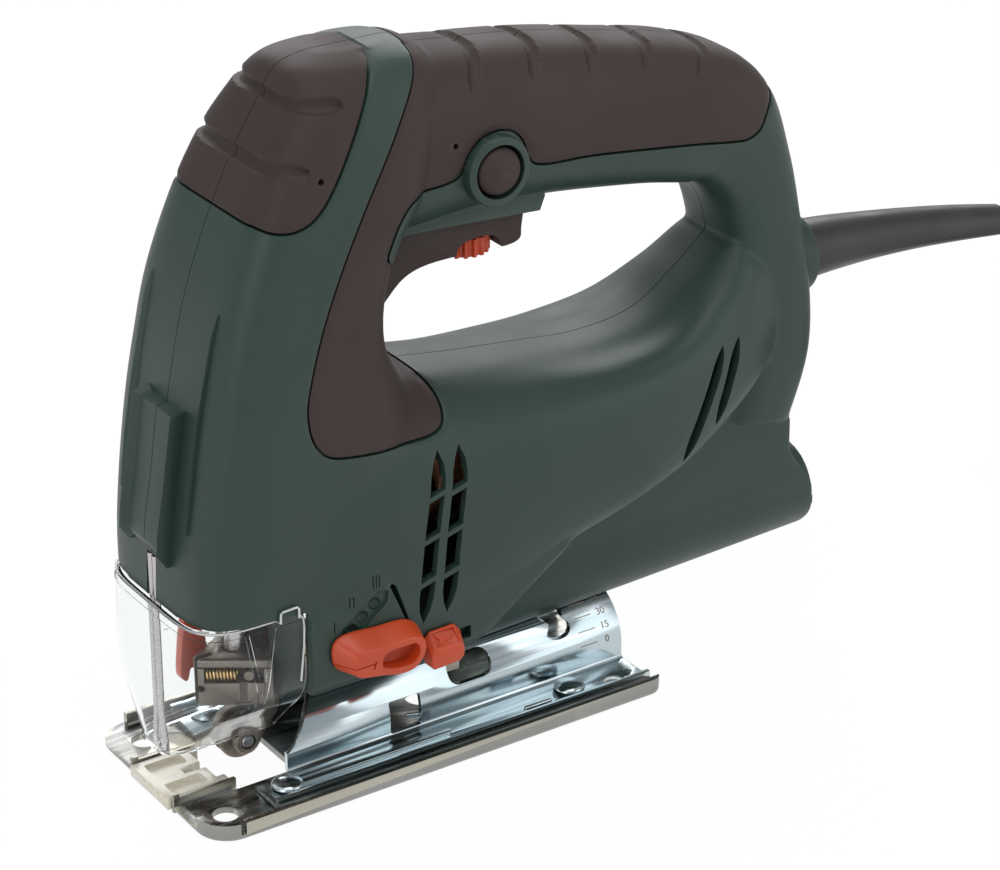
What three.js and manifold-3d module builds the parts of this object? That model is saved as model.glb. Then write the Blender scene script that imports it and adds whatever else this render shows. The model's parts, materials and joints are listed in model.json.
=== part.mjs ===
// Corded jigsaw with a closed handle loop, pendulum action, tilting base plate and dust spout.
// Millimetres. +X points to the rear of the saw (it cuts towards -X), -Y is its left side, +Z is up.
// The origin is the centre of the base plate's underside, so the saw stands on z = 0.
import * as THREE from 'three';
import { mergeVertices } from 'three/addons/utils/BufferGeometryUtils.js';
import Module from 'manifold-3d';

const wasm = await Module();
wasm.setup();

// ---- clearances shared by every fit -------------------------------------------------------------
const seatGap = 0.3; // between pieces that touch
const runGap = 0.5; // between pieces that move past each other

// ---- housing ------------------------------------------------------------------------------------
const wall = 3; // moulded wall of the two half shells
const gripDepth = 2; // thickness of the soft overmoulding
const noseFloorZ = 61.5; // underside of the gear housing above the blade
const bayRoofZ = 68.5; // roof of the bay into which the blade clamp rises
const footBottomZ = 34; // underside of the body beside the bevel bracket
const footHalfWidth = 32.5;
const footFrontX = -41;
const footBackX = 14;
const gripSeam = 0.5; // visible gap round the soft pieces
const grooveWidth = 2;
const grooveDepth = 0.9;
const grooveReach = 14;
// Grooves of the handle: x and z of the lower end, lean to the rear.
const gripGroovePlaces = [[19.8, 194.2, 0.6], [40, 193, 0.6], [59.6, 190.8, 0.65], [78.2, 187.4, 0.75],
  [96.4, 182.4, 0.85]];
// Level grooves of the nose cap: height, x of the rear end.
const padGroovePlaces = [[200.2, -21.4], [185.6, -34.4]];
const screwPlaces = [[-60, 108], [-36, 152], [-12, 192], [66, 160.5], [121.5, 150], [112, 84]];
const bossRadius = 4.4;
const screwRadius = 1.9;
const screwHeadRadius = 3.6;
const screwSeatY = 10;
const ventSkew = 0.9;
const ventRib = 1.9;
const ventColumns = [
  { foot: [-7.6, 49], head: [-0.6, 98], width: 4.6, windows: 4 },
  { foot: [1.4, 49], head: [7.2, 96.5], width: 4.6, windows: 4 },
  { foot: [85, 71], head: [101, 103], width: 4, windows: 1 },
  { foot: [97.5, 79], head: [107.7, 103.7], width: 4, windows: 1 },
];

// ---- controls -----------------------------------------------------------------------------------
const podHalfWidth = 10.5;
const panelHalfWidth = 18;
const lockX = 26;
const lockZ = 171.8;
const lockFaceY = -23.4;
const lockBossRadius = 10;
const lockRadius = 6.8;
const triggerHalfWidth = 9;
const triggerFrontX = -5;
const triggerBackX = 42.7;
const triggerTopZ = 158.5;
const skirtBottomZ = 153;
const dialRadius = 8;
const dialX = 28.5;
const dialBottomZ = 141;
const dialTopZ = 146.4;
const leverX = -14.5; // pivot of the orbit lever
const leverZ = 45;
const leverThickness = 3.5;
const leverFaceY = -footHalfWidth - leverThickness;

// ---- drive --------------------------------------------------------------------------------------
const motorZ = 82; // height of the motor axis
const toothModule = 1;
const pinionTeeth = 8;
const gearTeeth = 44;
const gearZ = motorZ + (toothModule * (pinionTeeth + gearTeeth)) / 2;
const crankRadius = 11; // half of the 22 mm stroke
const crankPinZ = gearZ - crankRadius;
const crankPinRadius = 3;
const gearFrontX = -38.5;
const gearWidth = 7;
const plungerX = -48;
const plungerRadius = 3.5;
const plungerTopZ = 137.5;
const upperGuideZ = 129;
const guideHeight = 6;
const yokeThickness = 3.2;
const bearingRadius = 9.5;
const shaftRadius = 3;
const statorRadius = 21;
const statorFrontX = 16;
const statorLength = 46;
const fanRadius = 23;

// ---- base ---------------------------------------------------------------------------------------
const baseLength = 152;
const baseWidth = 71;
const sheet = 2; // steel sheet of the base plate
const flangeTopZ = 5.6;
const archAxisZ = 8; // the plate tilts about this line
const archRadius = 16.5;
const bracketSheet = 1.5;
const bracketFrontX = -53;
const archFrontX = -30;
const bracketBackX = baseLength / 2 - 2;
const bracketHalfWidth = baseWidth / 2 - 4.5;
const bracketFrontHalf = archRadius + 1.5; // half width of the gap in its front
const rivetRadius = 2.5;
const insertHalfWidth = 11;
const openingHalfWidth = 14;

// ---- dust spout and cord ------------------------------------------------------------------------
const spoutRadius = 14;
const spoutWall = 2.4;
const spoutEndX = 149;
const spoutEndZ = 36; // height of the spout's axis at its mouth
const spoutRise = 0.034; // the spout climbs towards the rear (radians)
const spoutWebHalf = 12;
const cordDiameter = 7.2;
const reliefRadius = 9.4;
const reliefCollar = 2.5; // the collar stands out this far, in its groove in the shells
const reliefCollarWidth = 3;
const reliefTipRadius = 4.9;
const cordExitZ = 112;
const reliefRootX = 134;
const reliefTipX = 229;
const reliefDrop = 8.6; // the sleeve and cord sag this far at the sleeve's tip
const coilX = 309;
const coilY = -16.3;
const coilMeanRadius = 41;
const coilLayers = 3;
const plugHalfHeight = 9.4;
const plugRest = 0.8; // clearance between the coil and the plug on it

// ---- small mechanism ------------------------------------------------------------------------------
const ductHalfWidth = 8;
const wireX = -71.8;
const wireRadius = 0.95;
const wireSpread = 1.3;
const wireTopZ = 75;
const coverWall = 1.3;
const coverBackX = -46;
const bushRadius = 6;
const camShaftRadius = 3;
const sliderFrontX = -7;
const sliderBackX = 5.8;
const sliderTravel = 7;
const forkX = -36.5;
const forkPivotZ = 52;
const forkPinRadius = 2;
const forkPinHalf = 11;
const clampX = 13.5;
const clampScrewRadius = 2.5;
const clampScrewTopZ = 36;
const releaseX = -55;
const releaseInnerY = 11.2;
const releaseThickness = 3;
const releasePivotZ = 63.5;
const releasePinRadius = 1.6;
const releasePinEndY = 21;
const forkHalf = 7.1;
const rollerX = -48.5;
const rollerZ = 11;
const rollerRadius = 6.8;
const rollerHalf = 3.5;
const camLobe = 3.6;
const clampBottomZ = 28;
const clampTopZ = 43;
const clampFrontX = -62.5;
const clampBackX = -42;
const clampHalf = 10;
const springRadius = 2;
const springWire = 0.4;
const springTurns = 5;
const springLength = 9;
const springZ = clampTopZ - 4.5;
const gearCaseX = -29; // front face of the cast gear case
const gearCaseWidth = 5;
const axleRadius = 4;
const fanX = -6;
const commutatorX = statorFrontX + statorLength + 6;
const commutatorLength = 12;
const commutatorRadius = 9;
const brushX = commutatorX + commutatorLength / 2;
const brushHalfX = 3;
const brushHalfZ = 4;
const switchFrontX = 7;
const switchBackX = 43.5;
const switchBottomZ = 165;
const switchTopZ = 188;
const switchHalfWidth = 10;
const rearBearingX = commutatorX + commutatorLength + 10;
const rearBearingRadius = 8;

// ---- solids and shapes --------------------------------------------------------------------------
function toSolid(geometry) {
  const bare = geometry.clone();
  bare.deleteAttribute('normal');
  bare.deleteAttribute('uv');
  const merged = mergeVertices(bare, 1e-4);
  const index = merged.index.array;
  const triangles = [];
  for (let i = 0; i < index.length; i += 3) {
    const [a, b, c] = [index[i], index[i + 1], index[i + 2]];
    if (a !== b && b !== c && c !== a) triangles.push(a, b, c);
  }
  const mesh = new wasm.Mesh({
    numProp: 3,
    vertProperties: new Float32Array(merged.attributes.position.array),
    triVerts: new Uint32Array(triangles),
  });
  return new wasm.Manifold(mesh);
}

function toGeometry(solid) {
  const mesh = solid.getMesh();
  const geometry = new THREE.BufferGeometry();
  geometry.setAttribute('position', new THREE.BufferAttribute(new Float32Array(mesh.vertProperties), 3));
  geometry.setIndex(new THREE.BufferAttribute(new Uint32Array(mesh.triVerts), 1));
  geometry.computeVertexNormals();
  return geometry;
}

function join(...solids) {
  return solids.reduce((sum, next) => sum.add(next));
}

function shapeOf(points) {
  return new THREE.Shape(points.map(([x, y]) => new THREE.Vector2(x, y)));
}

function roundedShape(x0, x1, y0, y1, r, segments = 4) {
  const shape = new THREE.Shape();
  shape.moveTo(x0 + r, y0);
  shape.lineTo(x1 - r, y0);
  shape.absarc(x1 - r, y0 + r, r, -Math.PI / 2, 0);
  shape.lineTo(x1, y1 - r);
  shape.absarc(x1 - r, y1 - r, r, 0, Math.PI / 2);
  shape.lineTo(x0 + r, y1);
  shape.absarc(x0 + r, y1 - r, r, Math.PI / 2, Math.PI);
  shape.lineTo(x0, y0 + r);
  shape.absarc(x0 + r, y0 + r, r, Math.PI, 1.5 * Math.PI);
  return new THREE.Shape(shape.getPoints(segments));
}

function extrude(shape, depth, curveSegments = 6) {
  return new THREE.ExtrudeGeometry(shape, { depth, bevelEnabled: false, curveSegments });
}

// A shape drawn in X and Z, from y0 to y1.
function slabXZ(shape, y0, y1, curveSegments) {
  const geometry = extrude(shape, y1 - y0, curveSegments);
  geometry.rotateX(Math.PI / 2);
  geometry.translate(0, y1, 0);
  return toSolid(geometry);
}

// A shape drawn in X and Y, from z0 to z1.
function slabXY(shape, z0, z1, curveSegments) {
  const geometry = extrude(shape, z1 - z0, curveSegments);
  geometry.translate(0, 0, z0);
  return toSolid(geometry);
}

// A shape drawn in Y and Z, from x0 to x1.
function slabYZ(shape, x0, x1, curveSegments) {
  const geometry = extrude(shape, x1 - x0, curveSegments);
  geometry.applyMatrix4(new THREE.Matrix4().set(0, 0, 1, x0, 1, 0, 0, 0, 0, 1, 0, 0, 0, 0, 0, 1));
  return toSolid(geometry);
}

function box(x0, x1, y0, y1, z0, z1) {
  const geometry = new THREE.BoxGeometry(x1 - x0, y1 - y0, z1 - z0);
  geometry.translate((x0 + x1) / 2, (y0 + y1) / 2, (z0 + z1) / 2);
  return toSolid(geometry);
}

// A turned piece: profile points are [radius, place along the axis], axis is 'x', 'y' or 'z'.
function turned(profile, axis, [x, y, z], segments = 24) {
  const points = profile.map(([radius, along]) => new THREE.Vector2(radius, along));
  const geometry = new THREE.LatheGeometry(points, segments);
  if (axis === 'x') geometry.rotateZ(-Math.PI / 2);
  if (axis === 'z') geometry.rotateX(Math.PI / 2);
  geometry.translate(x, y, z);
  const solid = toSolid(geometry);
  return solid.volume() < 0 ? toSolid(flipped(geometry)) : solid;
}

function flipped(geometry) {
  const copy = geometry.clone();
  const index = copy.index.array;
  for (let i = 0; i < index.length; i += 3) [index[i], index[i + 1]] = [index[i + 1], index[i]];
  return copy;
}

function rod(radius, from, to, axis, place, segments = 24) {
  return turned([[0, from], [radius, from], [radius, to], [0, to]], axis, place, segments);
}

// A round tool for holes: its flats, not its corners, lie on the radius.
function hole(radius, from, to, axis, place, segments = 16) {
  return rod(radius / Math.cos(Math.PI / segments), from, to, axis, place, segments);
}

function tube(inner, outer, from, to, axis, place, segments = 24) {
  const profile = [[inner, from], [outer, from], [outer, to], [inner, to], [inner, from]];
  return turned(profile, axis, place, segments);
}

// Rings of equal point counts joined into one closed skin.
function loft(rings) {
  const count = rings[0].length;
  const positions = rings.flat().flatMap((p) => [p.x, p.y, p.z]);
  const index = [];
  for (let r = 0; r + 1 < rings.length; r += 1) {
    for (let i = 0; i < count; i += 1) {
      const j = (i + 1) % count;
      const [a, b, c, d] = [r * count + i, r * count + j, (r + 1) * count + i, (r + 1) * count + j];
      index.push(a, b, d, a, d, c);
    }
  }
  for (const [ring, start] of [[rings[0], 0], [rings.at(-1), (rings.length - 1) * count]]) {
    const centre = ring.reduce((sum, p) => sum.add(p), new THREE.Vector3()).divideScalar(count);
    const middle = positions.length / 3;
    positions.push(centre.x, centre.y, centre.z);
    for (let i = 0; i < count; i += 1) {
      const j = (i + 1) % count;
      if (start === 0) index.push(middle, j, i);
      else index.push(middle, start + i, start + j);
    }
  }
  const geometry = new THREE.BufferGeometry();
  geometry.setAttribute('position', new THREE.Float32BufferAttribute(positions, 3));
  geometry.setIndex(index);
  const solid = toSolid(geometry);
  return solid.volume() < 0 ? toSolid(flipped(geometry)) : solid;
}

// Smooth values between rows of numbers; t runs from 0 to 1 over all rows.
function between(rows, t) {
  const span = t * (rows.length - 1);
  const i = Math.min(Math.floor(span), rows.length - 2);
  const f = span - i;
  const row = (k) => rows[Math.max(0, Math.min(rows.length - 1, k))];
  return rows[0].map((_, c) => {
    const [p0, p1, p2, p3] = [row(i - 1)[c], row(i)[c], row(i + 1)[c], row(i + 2)[c]];
    const [v0, v1] = [(p2 - p0) / 2, (p3 - p1) / 2];
    const [a, b] = [2 * p1 - 2 * p2 + v0 + v1, -3 * p1 + 3 * p2 - 2 * v0 - v1];
    return ((a * f + b) * f + v0) * f + p1;
  });
}

function power(value, exponent) {
  return Math.sign(value) * Math.abs(value) ** exponent;
}

// ---- outer form of the body ---------------------------------------------------------------------
// Nose: level z, front x, x of the widest place, back x, half width, squareness in front and behind.
const noseLevels = [
  [noseFloorZ, -73, -38, 8, 30.5, 4.8, 3],
  [76, -72.2, -37, 8, 30.8, 5.2, 3],
  [98, -69, -34, 6, 31, 6, 3],
  [116, -66, -32, 0, 30.8, 6.2, 2.6],
  [130, -63.2, -30, -8, 30.3, 6.2, 3.4],
  [144, -60, -27, -9, 29.6, 6.4, 3.8],
  [157, -55.8, -22, -4, 28.8, 6.4, 3.4],
  [172, -49.6, -17, 9, 27.6, 6.2, 2.8],
  [186, -42.6, -12, 12, 25.8, 5.4, 2.8],
  [196, -36.4, -8, 14, 23, 4.6, 2.8],
  [203, -32, -6, 13, 19.4, 4, 2.6],
  [207, -28, -6, 10, 14.6, 3.4, 2.5],
  [208.8, -20, -7, 4, 7, 2.8, 2.4],
];

function noseForm(inset, steps = 12, around = 20) {
  const rings = [];
  for (let s = 0; s <= steps; s += 1) {
    const [z, front, mid, back, half, ef, eb] = between(noseLevels, s / steps);
    const level = THREE.MathUtils.lerp(z, z - inset, THREE.MathUtils.smoothstep(z, 150, 205));
    const ring = [];
    for (let i = 0; i < around; i += 1) {
      const turn = (2 * Math.PI * i) / around;
      const [c, sn] = [Math.cos(turn), Math.sin(turn)];
      const e = c < 0 ? ef : eb;
      const reach = (c < 0 ? mid - front : back - mid) - inset;
      const x = mid + reach * power(c, 2 / e);
      const y = (half - inset) * power(sn, 2 / e);
      ring.push(new THREE.Vector3(x, y, level));
    }
    rings.push(ring);
  }
  return loft(rings);
}

// Handle and rear column: centre x and z, half height across the path, half width, squareness.
const handlePath = [
  [-24, 176, 20, 20, 2.6],
  [0, 179.8, 25, 21.5, 2.7],
  [24, 179.7, 23.8, 20.5, 2.7],
  [48, 177.6, 22.9, 19.6, 2.7],
  [72, 173.8, 22, 19.2, 2.7],
  [94, 169.6, 21.2, 18.8, 2.9],
  [111, 163, 19.6, 18, 3.2],
  [122, 147, 14.4, 17.4, 3.2],
  [127.8, 127, 13.6, 17, 3],
  [131, 107, 14.8, 17, 3],
  [130.6, 87, 15.8, 17.4, 3],
  [126.6, 66, 13.6, 16, 3],
];

function handleForm(inset, steps = 12, around = 14) {
  const rings = [];
  for (let s = 0; s <= steps; s += 1) {
    const [x, z, high, half, e] = between(handlePath, s / steps);
    const [xa, za] = between(handlePath, Math.max(0, s / steps - 0.01));
    const [xb, zb] = between(handlePath, Math.min(1, s / steps + 0.01));
    const along = new THREE.Vector2(xb - xa, zb - za).normalize();
    const ring = [];
    for (let i = 0; i < around; i += 1) {
      const turn = (2 * Math.PI * i) / around;
      const across = (high - inset) * power(Math.cos(turn), 2 / e);
      const y = (half - inset) * power(Math.sin(turn), 2 / e);
      ring.push(new THREE.Vector3(x - along.y * across, y, z + along.x * across));
    }
    rings.push(ring);
  }
  return loft(rings);
}

// Motor body: x, underside z, ledge z, height of the widest place, crease z, top z, half widths at
// the ledge, at the widest place and at the crease, half width of the top.
const motorStations = [
  [-46, 46, 48, 72, 92, 105, footHalfWidth - 4.5, footHalfWidth - 2.5, footHalfWidth - 3, 16],
  [-24, 42, 45, 72, 93, 113, footHalfWidth - 1.7, footHalfWidth - 0.9, footHalfWidth - 1.7, 16],
  [0, 42, 45, 74, 94, 114, footHalfWidth - 1.3, footHalfWidth - 0.3, footHalfWidth - 1.3, 15],
  [24, 46, 50.5, 77, 95, 110.8, 31.5, 33, 31.2, 14],
  [46, 51, 57.6, 80, 96.5, 108.2, 31, 32.8, 30.8, 14],
  [68, 56, 63, 83, 98.5, 106, 30.2, 32, 30, 14],
  [88, 61, 69.4, 87, 101, 108.6, 28.6, 30.5, 28.4, 14],
  [104, 65, 77.6, 92, 105, 119, 26, 27.6, 25.4, 13],
  [117, 68, 84, 96, 108, 128.4, 22, 23.4, 21.6, 12],
  [128, 74, 90, 100, 110, 125, 16, 17.2, 16, 9],
];

function motorForm(inset, steps = 9, around = 24) {
  const rings = [];
  for (let s = 0; s <= steps; s += 1) {
    const [x, low, ledge, mid, crease, top, wl, wm, wc, wt] = between(motorStations, s / steps);
    const shoulder = top - 3;
    const right = [
      [wt * 0.5, top], [wt, shoulder + 1.6], [(wt + wc) / 2 + 2, (shoulder + crease) / 2 + 2.4], [wc, crease],
      [wm, mid], [wl, ledge + 1], [wl * 0.8, ledge - 1.4], [wl * 0.4, low],
    ];
    const closed = [...right, ...right.map(([y, z]) => [-y, z]).reverse()];
    const centreZ = (low + top) / 2;
    const points = closed.map(([y, z]) => new THREE.Vector3(x, y, z));
    const curve = new THREE.CatmullRomCurve3(points, true, 'centripetal');
    const ring = curve.getPoints(around).slice(0, -1);
    const high = (top - low) / 2;
    ring.forEach((p) => {
      p.y *= 1 - inset / wm;
      p.z = centreZ + (p.z - centreZ) * (1 - inset / high);
    });
    const shift = s === 0 ? inset : s === steps ? -inset : 0;
    ring.forEach((p) => p.setX(p.x + shift));
    rings.push(ring);
  }
  return loft(rings);
}

// The body beside and above the bevel bracket.
function footForm() {
  const crown = archAxisZ + archRadius;
  const left = [
    [-footHalfWidth + 2, 62], [-footHalfWidth, 57], [-footHalfWidth, footBottomZ + 3.5],
    [-footHalfWidth + 3, footBottomZ], [-16.5, footBottomZ], [-12.5, crown],
  ];
  const shape = shapeOf([...left, ...left.map(([y, z]) => [-y, z]).reverse()]);
  const side = shapeOf([
    [footFrontX, 10], [footBackX - 4, 10], [footBackX - 4, footBottomZ], [footBackX, footBottomZ + 2],
    [footBackX + 14, footBottomZ + 12], [footBackX + 34, footBottomZ + 26], [footFrontX, footBottomZ + 28],
  ]);
  return slabYZ(shape, footFrontX, footBackX + 34).intersect(slabXZ(side, -60, 60));
}

function spoutAxisZ(x) {
  return spoutEndZ - (spoutEndX - x) * Math.tan(spoutRise);
}

function alongSpout(radius, from, to, segments = 22) {
  const geometry = new THREE.CylinderGeometry(radius, radius, to - from, segments);
  geometry.rotateZ(-Math.PI / 2);
  geometry.rotateY(-spoutRise);
  geometry.translate((from + to) / 2, 0, spoutAxisZ((from + to) / 2));
  return toSolid(geometry);
}

// Dust duct under the motor, which ends in the round spout.
function spoutForm() {
  const section = roundedShape(-spoutWebHalf, spoutWebHalf, spoutAxisZ(40), 76, 3);
  const side = shapeOf([
    [footBackX - 6, 26], [spoutEndX - 4, 30], [spoutEndX - 4, 44], [spoutEndX - 9, 52], [spoutEndX - 10, 66],
    [spoutEndX - 12, 76], [spoutEndX - 30, 90], [footBackX - 6, 90],
  ]);
  return join(slabYZ(section, footBackX - 6, spoutEndX + 8).intersect(slabXZ(side, -40, 40)),
    alongSpout(spoutRadius, 0, spoutEndX));
}

// Raised panels down the front of the nose.
function nosePanels() {
  const lower = shapeOf([
    [-58, 75.6], [-73.4, 75.6], [-76.3, 80], [-75.6, 87], [-73.4, 99], [-70.2, 119.4], [-58, 121.4],
  ]);
  const upper = shapeOf([
    [-52, 86], [-71.4, 88], [-69.4, 104], [-65.8, 123], [-59.9, 149.6], [-57.2, 152.6], [-48, 153.4],
  ]);
  return join(
    softSlabXZ(lower, -podHalfWidth, podHalfWidth, 2.2, 1),
    softSlabXZ(upper, -panelHalfWidth, panelHalfWidth, 1.4, 1),
  );
}

// A slab with rounded edges, inside the given outline and faces.
function softSlabXZ(shape, y0, y1, edge, bevelSegments = 2) {
  const geometry = new THREE.ExtrudeGeometry(shape, {
    depth: y1 - y0 - 2 * edge, bevelSize: edge, bevelThickness: edge, bevelOffset: -edge, bevelSegments,
  });
  geometry.rotateX(Math.PI / 2);
  geometry.translate(0, y1 - edge, 0);
  return toSolid(geometry);
}

function lockBoss() {
  const edge = 1.2;
  const profile = [
    [0, -8], [lockBossRadius, -8], [lockBossRadius, lockFaceY + edge], [lockBossRadius - edge, lockFaceY],
    [0, lockFaceY],
  ];
  return turned(profile, 'y', [lockX, 0, lockZ], 22);
}

// Skirt round the trigger, under the handle.
function triggerSkirt() {
  const backX = triggerBackX + 3;
  const shape = shapeOf([
    [-8, skirtBottomZ + 2], [2, skirtBottomZ + 2.6], [16, skirtBottomZ + 2], [backX, skirtBottomZ],
    [backX + 1.6, skirtBottomZ + 4], [backX + 0.6, lockZ], [-8, lockZ],
  ]);
  return softSlabXZ(shape, -triggerHalfWidth - 4.5, triggerHalfWidth + 4.5, 1.2, 1);
}

function cordBoss() {
  const profile = [[0, 126], [12.6, 126], [12.6, 146], [11.6, 148], [0, 148]];
  return turned(profile, 'x', [0, 0, cordExitZ], 20);
}

function bodyForm(inset) {
  return join(noseForm(inset), handleForm(inset), motorForm(inset));
}

// The same form in fewer facets, for surfaces that lie under others.
function coreForm(inset) {
  return join(noseForm(inset, 8, 16), handleForm(inset, 9, 10), motorForm(inset, 6, 16));
}

// ---- housing shells -------------------------------------------------------------------------------
// The rooms inside the nose and round the motor, in few facets.
function noseRoom(inset) {
  return noseForm(inset, 6, 12);
}

function motorRoom(inset) {
  return motorForm(inset, 5, 14);
}

function cavity() {
  const drive = noseRoom(wall).intersect(box(-80, 40, -40, 40, bayRoofZ + wall, 220));
  const handle = handleForm(wall, 8, 8).intersect(box(-30, 170, -40, 40, 74, 220));
  const room = join(box(gearCaseX - 6, fanX - 4, -40, 40, 60, 140), box(fanX - 4, 132, -40, 40, 50, 140));
  const motor = motorRoom(wall).intersect(room);
  return join(drive, handle, motor);
}

function motorRib(x, width, holeRadius) {
  const plate = motorRoom(wall - seatGap).intersect(box(x, x + width, -40, 40, 40, 140));
  return plate.subtract(hole(holeRadius, x - 1, x + width + 1, 'x', [0, 0, motorZ], 20));
}

// Ribs on both sides that hold the switch in the handle.
function switchSeats() {
  const rib = (x) => join(
    box(x, x + 2.4, -30, -switchHalfWidth - seatGap, 160, 190),
    box(x, x + 2.4, switchHalfWidth + seatGap, 30, 160, 190),
  );
  return join(rib(switchFrontX + 3), rib(switchBackX - 5));
}

// Blocks beside the commutator in which the carbon brushes slide.
function brushGuides() {
  const block = (y0, y1) => box(brushX - 6, brushX + 6, y0, y1, motorZ - 7, motorZ + 7);
  const bore = box(brushX - brushHalfX - seatGap, brushX + brushHalfX + seatGap, -24, 24,
    motorZ - brushHalfZ - seatGap, motorZ + brushHalfZ + seatGap);
  return join(block(-40, -14), block(14, 40)).subtract(bore);
}

function screwBosses(outer) {
  const bosses = screwPlaces.map(([x, z]) => rod(bossRadius, -40, 40, 'y', [x, 0, z], 6));
  return join(...bosses).intersect(outer);
}

function screwHoles() {
  const holes = screwPlaces.map(([x, z]) => join(
    hole(screwRadius + seatGap, -9.5, screwSeatY + 1, 'y', [x, 0, z], 8),
    hole(screwHeadRadius + seatGap + 0.2, screwSeatY, 40, 'y', [x, 0, z], 8),
  ));
  return join(...holes);
}

// One slanted window of a vent, from one end of its centre line to the other.
function ventWindow([xa, za], [xb, zb], width, y0, y1) {
  const slope = new THREE.Vector2(xb - xa, zb - za).normalize();
  const side = new THREE.Vector2(-slope.y, slope.x).multiplyScalar(width / 2);
  const shape = shapeOf([
    [xa + side.x, za + side.y - ventSkew], [xa - side.x, za - side.y + ventSkew],
    [xb - side.x, zb - side.y + ventSkew], [xb + side.x, zb + side.y - ventSkew],
  ]);
  return slabXZ(shape, y0, y1);
}

function vents() {
  const cuts = [];
  for (const { foot, head, width, windows } of ventColumns) {
    const length = Math.hypot(head[0] - foot[0], head[1] - foot[1]);
    const at = (s) => [foot[0] + ((head[0] - foot[0]) * s) / length,
      foot[1] + ((head[1] - foot[1]) * s) / length];
    const opening = (length - ventRib * (windows - 1)) / windows;
    for (let w = 0; w < windows; w += 1) {
      const start = w * (opening + ventRib);
      cuts.push(ventWindow(at(start), at(start + opening), width, -40, -22));
      cuts.push(ventWindow(at(start), at(start + opening), width, 22, 40));
    }
  }
  return join(...cuts);
}

// Side outline of the soft grip: band line, wedge at the front of the loop, underside, rear end.
const gripOutline = [
  [12, 215], [6.6, 208.4], [3.3, 204.1], [-4.8, 193.4], [-9.4, 186.6], [-18.2, 172.9], [-26, 158.8],
  [-32.6, 144.4], [-37, 131.6], [-39.4, 120], [-37.6, 111], [-33.4, 106.4], [-27, 104.6], [-2, 102],
  [4.6, 103.6], [7, 108.4], [6, 113], [0, 122], [-3, 131], [-5, 148], [-12.6, 156.5], [-11, 161.4],
  [-7.6, 166.9], [-2.9, 170.4], [9.4, 171], [14, 171.9], [17, 174.6], [18.9, 178.2], [22.4, 181.4],
  [27, 182.7], [32.4, 181.4], [36, 177.8], [38.4, 172], [41.6, 169.6], [60, 168], [79, 165.6],
  [97, 163.1], [110, 160.9], [114.6, 160.6], [118.5, 162.3], [121.9, 167.4], [133, 182], [142, 215],
];
const padOutline = [
  [-90, 173], [-49.6, 172.6], [-45, 171.4], [-40.4, 171.2], [-35.8, 172.5], [-32, 175.3], [-28.3, 179.7],
  [-21.4, 190.2], [-14.4, 200.8], [-11, 205.6], [-6.8, 208.6], [-1, 214], [-4, 219], [-90, 219],
];

// An outline that runs anticlockwise, grown by moving its points along their normals.
function offsetOutline(outline, by) {
  return outline.map((_, i) => {
    const before = outline[(i + outline.length - 1) % outline.length];
    const after = outline[(i + 1) % outline.length];
    const way = new THREE.Vector2(after[0] - before[0], after[1] - before[1]).normalize();
    return [outline[i][0] + way.y * by, outline[i][1] - way.x * by];
  });
}

function softPiece(outline, skin, core) {
  return skin.subtract(core).intersect(slabXZ(shapeOf(outline), -45, 45));
}

// Shallow grooves across the top of the handle and of the nose.
function gripGrooves() {
  const cuts = gripGroovePlaces.map(([x, z, lean]) => {
    const geometry = new THREE.BoxGeometry(grooveWidth, 60, grooveReach);
    geometry.translate(0, 0, grooveReach / 2);
    geometry.rotateY(lean);
    geometry.translate(x, 0, z);
    return toSolid(geometry);
  });
  return join(...cuts).subtract(handleForm(grooveDepth));
}

function padGrooves() {
  const cuts = padGroovePlaces.map(([z, endX]) => box(-80, endX, -30, 30, z - grooveWidth / 2,
    z + grooveWidth / 2));
  return join(...cuts).subtract(noseForm(grooveDepth));
}

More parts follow.
